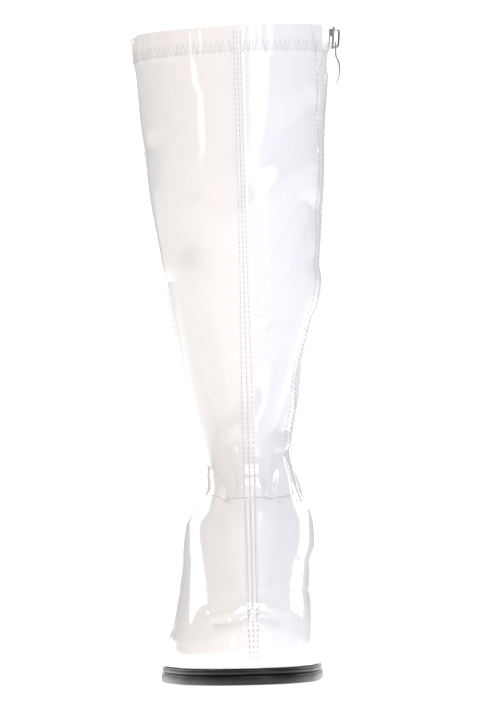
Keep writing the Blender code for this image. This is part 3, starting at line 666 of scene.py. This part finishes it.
def patent(name, painted_warm, painted_cool, roughness=0.12, facing=None):
    """White patent: a clear coat over a smooth white, with a painted reflection tint that is
    warmer on the outer side and cooler on the inner side.
    """
    n = Nodes(name)
    split = n.add("ShaderNodeSeparateXYZ")
    n.link(n.object_space(), split.inputs[0])
    # Painted reflection: the colour turns from warm on the outer side to cool on the inner side
    # across the front seam.
    painted_side_mask = n.add("ShaderNodeMapRange", From_Min=-0.012, From_Max=0.012)
    n.link(split.outputs["X"], painted_side_mask.inputs["Value"])
    colour = n.ramp(painted_side_mask.outputs["Result"], ((0.0, painted_warm), (1.0, painted_cool)))
    if facing is not None:
        strip = n.add("ShaderNodeAttribute", attribute_name="facing")
        blend = n.add("ShaderNodeMix", data_type="RGBA")
        n.link(strip.outputs["Fac"], blend.inputs["Factor"])
        n.link(colour, blend.inputs[6])
        blend.inputs[7].default_value = (*facing, 1.0)
        colour = blend.outputs[2]
    n.link(colour, n.shader.inputs["Base Color"])
    n.set(Roughness=roughness, Coat_Weight=1.0, Coat_Roughness=0.03, IOR=1.5)
    n.set(Subsurface_Weight=0.06, Subsurface_Scale=0.002)
    fine = n.bump(n.noise(420.0, 2.0), 0.00006, 0.5)
    wide = n.bump(n.noise(34.0, 1.0), 0.0012, 0.35, fine)
    n.link(wide, n.shader.inputs["Normal"])
    n.link(wide, n.shader.inputs["Coat Normal"])
    return n.material


def speckled(name, scale, detail, stops, grain_scale, grain, grain_detail=3.0,
             grain_roughness=0.5, **values):
    """A material with faint speckles in its colour and a fine grain."""
    n = Nodes(name)
    n.link(n.ramp(n.noise(scale, detail), stops), n.shader.inputs["Base Color"])
    n.set(**values)
    n.link(n.bump(n.noise(grain_scale, grain_detail, grain_roughness), grain),
           n.shader.inputs["Normal"])
    return n.material


def shaded(colour, share):
    return tuple(share * c for c in colour)


def rubber(name, colour, roughness, grain):
    return speckled(name, 60.0, 4.0, ((0.3, colour), (0.8, shaded(colour, 1.5))), 900.0, grain,
                    Roughness=roughness, Coat_Weight=0.1, Coat_Roughness=0.2,
                    Specular_IOR_Level=0.3)


def metal(name, colour, roughness):
    return speckled(name, 200.0, 3.0, ((0.2, shaded(colour, 0.85)), (0.8, colour)), 1400.0,
                    0.00002, 2.0, Metallic=1.0, Roughness=roughness)


def cloth(name, colour, scale, depth, roughness=0.8):
    return speckled(name, scale * 0.2, 2.0, ((0.2, shaded(colour, 0.93)), (0.8, colour)), scale,
                    depth, 4.0, 0.7, Roughness=roughness, Sheen_Weight=0.15)


def thread(name, colour):
    return cloth(name, tuple(colour), 4000.0, 0.00003, 0.6)


def bead_tree():
    """Geometry nodes that put a small rounded bead on every point: stitches and zip coils."""
    tree = bpy.data.node_groups.new("Beads on points", "GeometryNodeTree")
    for name, way, kind in (
            ("Geometry", "INPUT", "Geometry"), ("Thickness", "INPUT", "Float"),
            ("Material", "INPUT", "Material"), ("Geometry", "OUTPUT", "Geometry")):
        tree.interface.new_socket(name, in_out=way, socket_type="NodeSocket" + kind)

    def add(kind, **values):
        node = tree.nodes.new(kind)
        for key, value in values.items():
            node.inputs[key].default_value = value
        return node

    def named(name, data_type):
        node = add("GeometryNodeInputNamedAttribute", Name=name)
        node.data_type = data_type
        return next(s for s in node.outputs if s.enabled and s.name == "Attribute")

    entry, leave = add("NodeGroupInput").outputs, add("NodeGroupOutput").inputs
    ball = add("GeometryNodeMeshUVSphere", Segments=8, Rings=5, Radius=0.5)
    turn = add("FunctionNodeAlignRotationToVector")
    turn.axis = "Z"
    size = add("ShaderNodeCombineXYZ")
    place = add("GeometryNodeInstanceOnPoints")
    smooth = add("GeometryNodeSetShadeSmooth")
    realize = add("GeometryNodeRealizeInstances")
    paint = add("GeometryNodeSetMaterial")
    for source, target in (
            (named("along", "FLOAT_VECTOR"), turn.inputs["Vector"]),
            (entry["Thickness"], size.inputs["X"]), (entry["Thickness"], size.inputs["Y"]),
            (named("span", "FLOAT"), size.inputs["Z"]),
            (ball.outputs["Mesh"], smooth.inputs["Geometry"]),
            (entry["Geometry"], place.inputs["Points"]),
            (smooth.outputs["Geometry"], place.inputs["Instance"]),
            (turn.outputs["Rotation"], place.inputs["Rotation"]),
            (size.outputs["Vector"], place.inputs["Scale"]),
            (place.outputs["Instances"], realize.inputs["Geometry"]),
            (realize.outputs["Geometry"], paint.inputs["Geometry"]),
            (entry["Material"], paint.inputs["Material"]),
            (paint.outputs["Geometry"], leave["Geometry"])):
        tree.links.new(source, target)
    return tree


def beads(name, starts, ends, thickness, material):
    """One rounded bead from each start to its end, as one plain mesh."""
    starts, ends = np.asarray(starts) * MM, np.asarray(ends) * MM
    mesh = bpy.data.meshes.new(name)
    mesh.from_pydata((0.5 * (starts + ends)).tolist(), [], [])
    along = mesh.attributes.new("along", "FLOAT_VECTOR", "POINT")
    along.data.foreach_set("vector", (ends - starts).astype(np.float32).ravel())
    span = mesh.attributes.new("span", "FLOAT", "POINT")
    span.data.foreach_set("value", np.linalg.norm(ends - starts, axis=1).astype(np.float32))
    source = bpy.data.objects.new(name + " points", mesh)
    bpy.context.scene.collection.objects.link(source)
    tree = bpy.data.node_groups.get("Beads on points") or bead_tree()
    modifier = source.modifiers.new("beads", "NODES")
    modifier.node_group = tree
    given = {"Thickness": thickness * MM, "Material": material}
    for item in tree.interface.items_tree:
        if item.in_out == "INPUT" and item.name in given:
            modifier[item.identifier] = given[item.name]
    depsgraph = bpy.context.evaluated_depsgraph_get()
    plain = bpy.data.meshes.new_from_object(source.evaluated_get(depsgraph))
    source.modifiers.remove(modifier)
    bpy.data.objects.remove(source)
    return settle(name, plain, material, "boot")


def walk(points, pitch, share):
    """Starts and ends of stitches along a line of points, one each pitch."""
    length = lengths_along(points)
    starts = np.arange(0.3 * pitch, length[-1] - pitch, pitch)

    def on_line(at):
        return np.stack([np.interp(at, length, points[:, c]) for c in range(3)], -1)

    return on_line(starts), on_line(starts + share * pitch)


def length_property(name, default, least, description):
    return FloatProperty(name=name, description=description, default=default, min=least,
                         unit="LENGTH")


def columns_property(name, default, least, description):
    return IntProperty(name=name, description=description, default=default, min=least)


def colour_property(name, default, description):
    return FloatVectorProperty(name=name, description=description, default=default, size=3,
                               min=0.0, max=1.0, subtype="COLOR")


class BootSizes(bpy.types.PropertyGroup):
    row_gap: length_property("Row gap", 0.0018, 0.0006, "Gap between rings of the upper")
    front_columns: columns_property(
        "Front columns", 64, 8, "Columns of the upper between front seam and zip")
    back_columns: columns_property("Back columns", 44, 6, "Columns of the upper behind the zip")
    outer_columns: columns_property(
        "Outer columns", 112, 12, "Columns of the upper on the outer side")
    stitch_pitch: length_property(
        "Stitch pitch", 0.0029, 0.001, "Length of one stitch of the seams")
    thread: length_property("Thread", 0.00036, 0.0001, "Thickness of the thread")
    tooth_pitch: length_property(
        "Coil pitch", 0.0013, 0.0005, "Distance between the coils of the zip")
    room_light: FloatProperty(name="Room light", default=0.53, min=0.0, max=4.0,
                              description="How bright the even light of the studio is")


class BootColours(bpy.types.PropertyGroup):
    # The patent's white carries a painted reflection tint: warm on the outer side, cool on the
    # inner side.
    white_painted_warm: colour_property("Warm white", (0.80, 0.757, 0.735), "Patent on the outer side")
    white_painted_cool: colour_property("Cool white", (0.768, 0.755, 0.802), "Patent on the inner side")
    facing_grey: colour_property(
        "Facing grey", (0.78, 0.78, 0.79), "Matt facing in front of the zip")
    # The shaft and vamp threads are darker than a white thread: painted shade of the stitch holes,
    # darkest on the foot.
    shaft_thread_painted_shade: colour_property("Shaft thread", (0.50, 0.47, 0.47), "Thread of the shaft's seams")
    vamp_thread_painted_shade: colour_property("Vamp thread", (0.30, 0.24, 0.23), "Darker thread on the foot")
    vamp_edge: colour_property("Vamp edge", (0.52, 0.38, 0.35), "Pinkish cut edge of the vamp")
    cuff_thread: colour_property("Cuff thread", (0.58, 0.56, 0.56), "Thread of the zigzag")
    sole_black: colour_property("Sole black", (0.003, 0.0027, 0.0036), "Sole and heel")


class BootOperator:
    """What all the boot's operators share."""

    bl_options = {"REGISTER", "UNDO"}


class BOOT_OT_upper(BootOperator, bpy.types.Operator):
    """Wrap the boot in its patent upper, with cuff step, seams, zip channel and creases"""

    bl_idname = "boot.upper"
    bl_label = "Upper"

    def execute(self, context):
        sizes, colours = context.scene.boot_sizes, context.scene.boot_colours
        skin = upper_skin(sizes)
        white = patent("white patent", tuple(colours.white_painted_warm), tuple(colours.white_painted_cool),
                       facing=tuple(colours.facing_grey))
        up = skin.face[-1] - skin.face[-2]
        up /= np.linalg.norm(up, axis=1, keepdims=True)
        radius = 0.5 * UPPER_WALL + 0.3
        out = skin.normals[-1] * radius
        rim = [skin.face[-1] - out + out * math.cos(turn) + up * 0.6 * radius * math.sin(turn)
               for turn in np.linspace(0.0, math.pi, 7)[1:]]
        inside = [skin.flat[row] - skin.normals[row] * UPPER_WALL
                  for row in [*range(len(skin.places) - 3, 0, -5), 0]]
        rings = np.concatenate((skin.face, rim, inside))
        faces = ring_quads(*rings.shape[:2], closed_ends=True)
        piece = new_piece("patent_upper", rings, faces, white, "boot", ("upper",))
        strip = (ease(-0.5, 0.5, skin.facing_distance()) * ease(-2.6, -3.4, skin.zip_distance())
                 * ease(3.6, CHANNEL_START, skin.places)[:, None])
        shade = np.zeros(rings.shape[:2], np.float32)
        shade[:len(strip)] = strip
        facing = piece.data.attributes.new("facing", "FLOAT", "POINT")
        facing.data.foreach_set("value", shade.ravel())
        return {"FINISHED"}


class BOOT_OT_lining(BootOperator, bpy.types.Operator):
    """Line the inside of the upper with pale cloth"""

    bl_idname = "boot.lining"
    bl_label = "Lining"

    def execute(self, context):
        skin = upper_skin(context.scene.boot_sizes)
        pale = cloth("pale lining", (0.74, 0.72, 0.69), 1800.0, 0.00008)
        flat, normals = (grid[4:-5:4, ::2] for grid in (skin.flat, skin.normals))
        near = flat - normals * (UPPER_WALL + LINING_GAP)
        deep = flat - normals * (UPPER_WALL + LINING_DEPTH)
        rings = np.concatenate((near, deep[::-1]))
        faces = ring_quads(*rings.shape[:2], closed_ends=True)
        new_piece("lining", rings, faces, pale, "boot")
        return {"FINISHED"}


class BOOT_OT_seams(BootOperator, bpy.types.Operator):
    """Sew the front seam, the vamp seam and the rows beside the zip"""

    bl_idname = "boot.seams"
    bl_label = "Seams"

    def execute(self, context):
        sizes, colours = context.scene.boot_sizes, context.scene.boot_colours
        skin = upper_skin(sizes)
        pitch, thick = sizes.stitch_pitch / MM, sizes.thread / MM

        def sew(name, rows, colour, width=thick, pitch=pitch, share=0.62):
            starts, ends = zip(*(walk(row, pitch, share) for row in rows))
            beads(name, np.concatenate(starts), np.concatenate(ends), width,
                  thread(name + " thread", colour))

        def front_seam(places):
            offset, drawn = front_seam_width(places), np.maximum(places, FIRST_PLACE)
            rows = [skin.at(places, side, angle_at_width(drawn, side, offset), SEWN_LIFT)
                    for side in (OUTER, INNER)]
            return rows + [skin.at(places, INNER, 0.0 * places, SEWN_LIFT)]

        def beside_zip(places, offset):
            return skin.at(places, INNER, zip_angle(places, offset), SEWN_LIFT)

        zip_places = np.linspace(CHANNEL_START, 20.9, 330)
        rows = front_seam(np.linspace(8.9, 20.97, 300))
        rows += [beside_zip(zip_places, offset + 0.0 * zip_places)
                 for offset in (-ZIP_STITCHES, ZIP_STITCHES)]
        rows.append(beside_zip(zip_places, -FACING_STITCHES - facing_edge(zip_places)))
        apex = np.linspace(19.95, 20.95, 30)
        rows.append(beside_zip(apex, -mix(facing_edge(apex), 5.5, ease(19.9, 21.0, apex))))
        # Both thread colours hold painted shade of the stitch holes.
        sew("shaft_stitches", rows, colours.shaft_thread_painted_shade)
        sew("vamp_stitches", front_seam(np.linspace(0.3, 8.75, 260)), colours.vamp_thread_painted_shade)
        rows = []
        for side, end in ((OUTER, 1.95), (INNER, 1.55)):
            angle = np.linspace(0.0, end, 140)
            places = np.maximum(vamp_tables[side](angle) - 0.03, 0.3)
            rows.append(skin.at(places, side, angle, 0.05))
        sew("vamp_edge", rows, colours.vamp_edge, 1.1 * thick, 0.4 * pitch, 1.3)
        return {"FINISHED"}


class BOOT_OT_cuff(BootOperator, bpy.types.Operator):
    """Sew the zigzag that holds the elastic inside the cuff"""

    bl_idname = "boot.cuff"
    bl_label = "Cuff zigzag"

    def execute(self, context):
        sizes, colours = context.scene.boot_sizes, context.scene.boot_colours
        skin = upper_skin(sizes)
        starts, ends = [], []
        for side, last in ((INNER, 1.40), (OUTER, math.pi)):
            fine = np.linspace(0.02, last, 500)
            length = lengths_along(skin.at(20.62, side, fine))
            turns = np.interp(np.arange(0.0, length[-1], ZIGZAG_STEP), length, fine)
            for low, high in ZIGZAG_ROWS:
                places = np.where(np.arange(len(turns)) % 2, low, high)
                points = skin.at(places, side, turns, 0.02)
                starts.append(points[:-1])
                ends.append(points[1:])
        starts, ends = np.concatenate(starts), np.concatenate(ends)
        beads("cuff_zigzag", mix(starts, ends, 0.06), mix(starts, ends, 0.94),
              0.8 * sizes.thread / MM, thread("cuff thread", colours.cuff_thread))
        return {"FINISHED"}


def foot_ring(inset, height_at, stations=150):
    angle = np.linspace(0.0, math.pi, stations + 1)[1:-1]
    x_in, y_in = outline_points(INNER, angle, inset)
    x_out, y_out = outline_points(OUTER, angle, inset)
    x = np.concatenate(([0.0], x_in, [0.0], x_out[::-1]))
    y = np.concatenate(([TOE_Y + inset], y_in, [HEEL_Y - inset], y_out[::-1]))
    return np.stack((x, y, height_at(y)), -1)


def closed_stack(name, rings, material, slot):
    """A piece from stacked rings, with flat strips that close its two ends."""
    rings = np.array(rings)
    count, size = rings.shape[:2]
    faces = [list(face) for face in ring_quads(count, size)]
    for first, upwards in ((0, False), ((count - 1) * size, True)):
        for step in range(size // 2):
            face = [step, step + 1, size - step - 1, (size - step) % size]
            face = [first + c for i, c in enumerate(face) if c not in face[:i]]
            if len(face) > 2:
                faces.append(face if upwards else face[::-1])
    return new_piece(name, rings, faces, material, "boot", (slot,))


class BOOT_OT_sole(BootOperator, bpy.types.Operator):
    """Mould the black sole with its two edges and the groove between them, and the insole"""

    bl_idname = "boot.sole"
    bl_label = "Sole"

    def execute(self, context):
        colours = context.scene.boot_colours
        black = rubber("black sole", tuple(colours.sole_black), 0.32, 0.00005)
        rings = [foot_ring(inset, lambda y: mix(sole_bottom(y), sole_top(y), share))
                 for inset, share in SOLE_EDGE]
        closed_stack("moulded_sole", rings, black, "sole")
        sock = cloth("sock lining", (0.74, 0.72, 0.69), 1500.0, 0.0001)
        inset = FEATHER_INSET + UPPER_WALL + 0.55
        rings = [foot_ring(inset + edge, lambda y: sole_top(y, lift))
                 for edge, lift in ((0.0, 0.3), (0.0, 1.9), (0.15, 2.15), (0.5, 2.3))]
        closed_stack("sock_lining", rings, sock, "insole")
        return {"FINISHED"}


def heel_ring(inset, breast_shift, back_shift, height_at, corner=1.8):
    """A ring of the heel with a straight breast and a round back."""
    breast, back = HEEL_BREAST + breast_shift, HEEL_BACK + back_shift
    half_width = HEEL_HALF_WIDTH - inset
    shoulder = mix(breast, back, 0.42)
    bend = np.linspace(0.0, 0.5 * math.pi, 7)
    inner = [(half_width * t, breast) for t in (0.25, 0.5, 0.75)]
    inner += [(half_width - corner + corner * math.sin(a), breast + corner - corner * math.cos(a))
              for a in bend]
    inner += [(half_width, mix(breast + corner, shoulder, t)) for t in (0.33, 0.66)]
    for turn in np.linspace(0.0, 0.5 * math.pi, 41)[:-1]:
        inner.append((half_width * math.cos(turn) ** 0.86,
                      mix(shoulder, back, math.sin(turn) ** 0.86)))
    plan = np.array([(0.0, breast)] + inner + [(0.0, back)] + [(-x, y) for x, y in inner[::-1]])
    return np.stack((plan[:, 0] + HEEL_SHIFT, plan[:, 1], height_at(plan[:, 1])), -1)


class BOOT_OT_heel(BootOperator, bpy.types.Operator):
    """Cover the block heel with patent and put the top lift under it"""

    bl_idname = "boot.heel"
    bl_label = "Heel"

    def execute(self, context):
        colours = context.scene.boot_colours
        # The heel's patent has the same painted reflection tint, warm on the outer side and cool
        # on the inner side.
        white = patent("covered heel", tuple(colours.white_painted_warm), tuple(colours.white_painted_cool), 0.14)
        tables = smooth_tables(HEEL_LEVELS)
        rings = []
        for share in np.concatenate(([0.0, 0.004], np.linspace(0.012, 1.0, 40))):
            inset, breast, back = (table(share) for table in tables)
            inset = inset + 0.5 * ease(0.012, 0.0, share)
            rings.append(heel_ring(inset, breast, back,
                                   lambda y: mix(LIFT_TOP, sole_bottom(y, -0.3), share)))
        closed_stack("covered_heel", rings, white, "heel")
        black = rubber("black top lift", (0.012, 0.012, 0.013), 0.55, 0.00015)
        levels = ((0.9, 0.0), (0.3, 0.2), (0.0, 0.6), (0.0, 5.4), (0.2, 5.8), (0.6, 6.0))
        rings = [heel_ring(inset, inset, -inset, lambda y: 0.0 * y + z) for inset, z in levels]
        closed_stack("wearing_lift", rings, black, "top_lift")
        return {"FINISHED"}


class BOOT_OT_zip(BootOperator, bpy.types.Operator):
    """Lay the zip's tape in its channel and close the coils along it"""

    bl_idname = "boot.zip"
    bl_label = "Zip"

    def execute(self, context):
        sizes = context.scene.boot_sizes
        skin = upper_skin(sizes)
        weave = cloth("zip tape", (0.72, 0.70, 0.70), 2600.0, 0.00012)
        places = np.linspace(*TAPE_ENDS, 260)
        around = [(offset, 0.30) for offset in range(-3, 4)]
        around += [(offset, 0.02) for offset in range(3, -4, -1)]
        rings = np.stack([skin.at(places, INNER, zip_angle(places, offset), lift)
                          for offset, lift in around], axis=1)
        count, size = rings.shape[:2]
        faces = [*ring_quads(count, size), range(size)[::-1],
                 range((count - 1) * size, count * size)]
        new_piece("zip_tape", rings, faces, weave, "boot", ("zip_chain",))
        coil = cloth("zip coil", (0.70, 0.69, 0.69), 900.0, 0.00002, 0.35)
        fine = np.linspace(*COIL_ENDS, 900)
        length = lengths_along(skin.at(fine, INNER, zip_angle(fine, 0.0), 0.3))
        pitch = sizes.tooth_pitch / MM
        at = np.interp(np.arange(0.5 * pitch, length[-1], 0.5 * pitch), length, fine)
        sign = np.where(np.arange(len(at)) % 2, 1.0, -1.0)
        low = skin.at(at, INNER, zip_angle(at, 0.35 * sign), 0.72)
        far = skin.at(at, INNER, zip_angle(at, -1.75 * sign), 0.62)
        beads("zip_coils", low, far, COIL_WIDTH, coil)
        return {"FINISHED"}


def bowed_pull(material):
    """The pull tab, hanging from its bar and bowed outwards like sprung sheet."""
    (widths,) = smooth_tables(PULL_WIDTHS)
    top = PULL_WIDTHS[-1][0]
    down = mix(top, -PULL_LENGTH, 0.5 - 0.5 * np.cos(np.linspace(0.0, math.pi, 45)))
    edge = np.stack((widths(down), down), -1)
    turn = np.linspace(0.0, 2.0 * math.pi, 20, endpoint=False)
    eye, eye_top, eye_bottom = PULL_EYE
    radius, rise = PULL_HOLE
    outlines = (
        np.concatenate((edge, edge[::-1] * (-1.0, 1.0))),
        np.array(((-eye, eye_top), (-eye, eye_bottom), (eye, eye_bottom), (eye, eye_top))),
        np.stack((radius * np.cos(turn), rise - PULL_LENGTH + radius * np.sin(turn)), -1),
    )
    curve = bpy.data.curves.new("pull outline", "CURVE")
    curve.dimensions, curve.fill_mode = "2D", "BOTH"
    curve.extrude = PULL_HALF_THICKNESS - PULL_EDGE_ROUND
    curve.bevel_depth, curve.bevel_resolution = PULL_EDGE_ROUND, 2
    curve.offset = -PULL_EDGE_ROUND
    for outline in outlines:
        line = curve.splines.new("POLY")
        line.points.add(len(outline) - 1)
        line.use_cyclic_u = True
        for point, (x, y) in zip(line.points, outline):
            point.co = (x, y, 0.0, 1.0)
    source = bpy.data.objects.new("pull outline", curve)
    bpy.context.scene.collection.objects.link(source)
    depsgraph = bpy.context.evaluated_depsgraph_get()
    mesh = bpy.data.meshes.new_from_object(source.evaluated_get(depsgraph))
    bpy.data.objects.remove(source)
    shape = bmesh.new()
    shape.from_mesh(mesh)
    bmesh.ops.remove_doubles(shape, verts=shape.verts, dist=0.0005)
    for level in np.arange(-PULL_LENGTH + 0.8, -7.6, 0.8):
        bmesh.ops.bisect_plane(shape, geom=shape.verts[:] + shape.edges[:] + shape.faces[:],
                               plane_co=(0.0, level, 0.0), plane_no=(0.0, 1.0, 0.0))
    for vertex in shape.verts:
        x, y, z = vertex.co
        along = min(max((-y - BOW_START) / (PULL_LENGTH - BOW_START), 0.0), 1.0)
        bow = PULL_BOW * math.sin(math.pi * along) * float(ease(6.5, 11.0, -y))
        vertex.co = (Vector(PULL_HINGE) + Vector((z + bow, x, y))) * MM
    bmesh.ops.recalc_face_normals(shape, faces=shape.faces[:])
    shape.to_mesh(mesh)
    shape.free()
    settle("bowed_pull", mesh, material, "pull", ("zip_pull",))


class BOOT_OT_metal(BootOperator, bpy.types.Operator):
    """Plate the slider with nickel and hang the bowed pull tab on its bail"""

    bl_idname = "boot.metal"
    bl_label = "Slider and pull"

    def execute(self, context):
        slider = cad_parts["zip_slider"]
        slider.data.materials.clear()
        slider.data.materials.append(metal("slider nickel", (0.42, 0.41, 0.41), 0.22))
        bowed_pull(metal("pull nickel", (0.50, 0.49, 0.48), 0.2))
        return {"FINISHED"}


def softbox(name, azimuth, elevation, distance, width, height, radiance):
    """A soft light seen from the boot at that bearing, right positive, and height, in degrees."""
    turn, rise = math.radians(azimuth), math.radians(elevation)
    middle = Vector((0.0, -0.04, 0.19))
    way = Vector((math.sin(turn) * math.cos(rise), -math.cos(turn) * math.cos(rise),
                  math.sin(rise)))
    light = bpy.data.lights.new(name, "AREA")
    light.shape = "RECTANGLE"
    light.size, light.size_y = width, height
    light.energy = radiance * math.pi * width * height
    lamp = bpy.data.objects.new(name, light)
    lamp.location = middle + way * distance
    lamp.rotation_euler = (-way).to_track_quat("-Z", "Y").to_euler()
    bpy.context.scene.collection.objects.link(lamp)


# Name, azimuth, elevation, distance, width, height and radiance of each soft light
SOFTBOXES = (
    ("left strip", -43.0, 8.5, 1.3, 0.12, 0.26, 2.8),
    ("right window", 25.0, 6.0, 1.5, 0.62, 0.9, 1.7),
    ("toe box", 3.0, 58.0, 1.4, 1.1, 0.55, 3.1),
    ("overhead", 0.0, 94.0, 1.6, 0.9, 0.9, 4.6),
    ("back left", -154.0, 18.5, 2.2, 1.5, 0.8, 1.6),
    ("back right", 154.0, 18.5, 2.2, 1.5, 0.8, 1.6),
)


class BOOT_OT_stage(BootOperator, bpy.types.Operator):
    """Set the pale floor, the backdrop, the soft studio light and the photograph's camera"""

    bl_idname = "boot.stage"
    bl_label = "Studio"

    def execute(self, context):
        scene = context.scene
        scene.view_settings.view_transform = "Standard"
        world = bpy.data.worlds.new("studio")
        scene.world = world
        world.use_nodes = True
        background = world.node_tree.nodes["Background"].inputs
        background["Color"].default_value = WHITE
        background["Strength"].default_value = scene.boot_sizes.room_light
        bpy.ops.mesh.primitive_plane_add(size=12.0, location=(0.0, 0.0, -0.0004))
        floor = context.object
        floor.name = "floor"
        n = Nodes("pale floor")
        n.set(Roughness=0.6, Emission_Color=WHITE)
        n.link(n.ramp(n.noise(3.0), ((0.0, (0.93, 0.93, 0.93)), (1.0, (0.95, 0.95, 0.95)))),
               n.shader.inputs["Base Color"])
        away = n.add("ShaderNodeVectorMath", operation="DISTANCE")
        n.link(n.object_space(), away.inputs[0])
        away.inputs[1].default_value = GLOW_CENTRE
        glow = n.add("ShaderNodeMapRange", interpolation_type="SMOOTHSTEP", From_Min=GLOW_NEAR,
                     From_Max=GLOW_FAR, To_Min=1.0, To_Max=0.38)
        n.link(away.outputs["Value"], glow.inputs["Value"])
        n.link(glow.outputs["Result"], n.shader.inputs["Emission Strength"])
        floor.data.materials.append(n.material)
        bpy.ops.mesh.primitive_plane_add(size=1.3, location=(0.0, 2.4, 0.6),
                                         rotation=(math.radians(90.0), 0.0, 0.0))
        backdrop = context.object
        backdrop.name = "backdrop"
        n = Nodes("lit backdrop")
        n.set(Emission_Color=WHITE, Emission_Strength=0.9)
        backdrop.data.materials.append(n.material)
        for box in SOFTBOXES:
            softbox(*box)
        eye = bpy.data.cameras.new("camera")
        eye.sensor_width = SENSOR
        eye.lens = CAMERA_LENS * SENSOR
        eye.clip_end = 50.0
        camera = bpy.data.objects.new("camera", eye)
        camera.matrix_world = (
            Matrix.Translation(CAMERA_PLACE)
            @ Matrix.Rotation(math.radians(90.0), 4, "X")
            @ Matrix.Rotation(CAMERA_ROLL, 4, "Z"))
        scene.collection.objects.link(camera)
        scene.camera = camera
        return {"FINISHED"}


class BOOT_PT_panel(bpy.types.Panel):
    """Sizes and colours of the boot, and one button for each piece"""

    bl_idname = "BOOT_PT_panel"
    bl_label = "Go go boot"
    bl_space_type = "VIEW_3D"
    bl_region_type = "UI"
    bl_category = "Boot"

    def draw(self, context):
        layout = self.layout
        for group in (context.scene.boot_sizes, context.scene.boot_colours):
            for name in group.bl_rna.properties.keys():
                if name not in ("rna_type", "name"):
                    layout.prop(group, name)
        for operator in BOOT_OPERATORS:
            layout.operator(operator.bl_idname)


BOOT_OPERATORS = (
    BOOT_OT_upper, BOOT_OT_lining, BOOT_OT_seams, BOOT_OT_cuff, BOOT_OT_sole, BOOT_OT_heel,
    BOOT_OT_zip, BOOT_OT_metal, BOOT_OT_stage,
)
BOOT_CLASSES = (BootSizes, BootColours) + BOOT_OPERATORS + (BOOT_PT_panel,)


def register():
    for entry in BOOT_CLASSES:
        bpy.utils.register_class(entry)
    bpy.types.Scene.boot_sizes = PointerProperty(type=BootSizes)
    bpy.types.Scene.boot_colours = PointerProperty(type=BootColours)


def unregister():
    del bpy.types.Scene.boot_colours
    del bpy.types.Scene.boot_sizes
    for entry in reversed(BOOT_CLASSES):
        bpy.utils.unregister_class(entry)


def main():
    register()
    bpy.ops.boot.upper()
    bpy.ops.boot.lining()
    bpy.ops.boot.seams()
    bpy.ops.boot.cuff()
    bpy.ops.boot.sole()
    bpy.ops.boot.heel()
    bpy.ops.boot.zip()
    bpy.ops.boot.metal()
    bpy.ops.boot.stage()


if __name__ == "__main__":
    main()
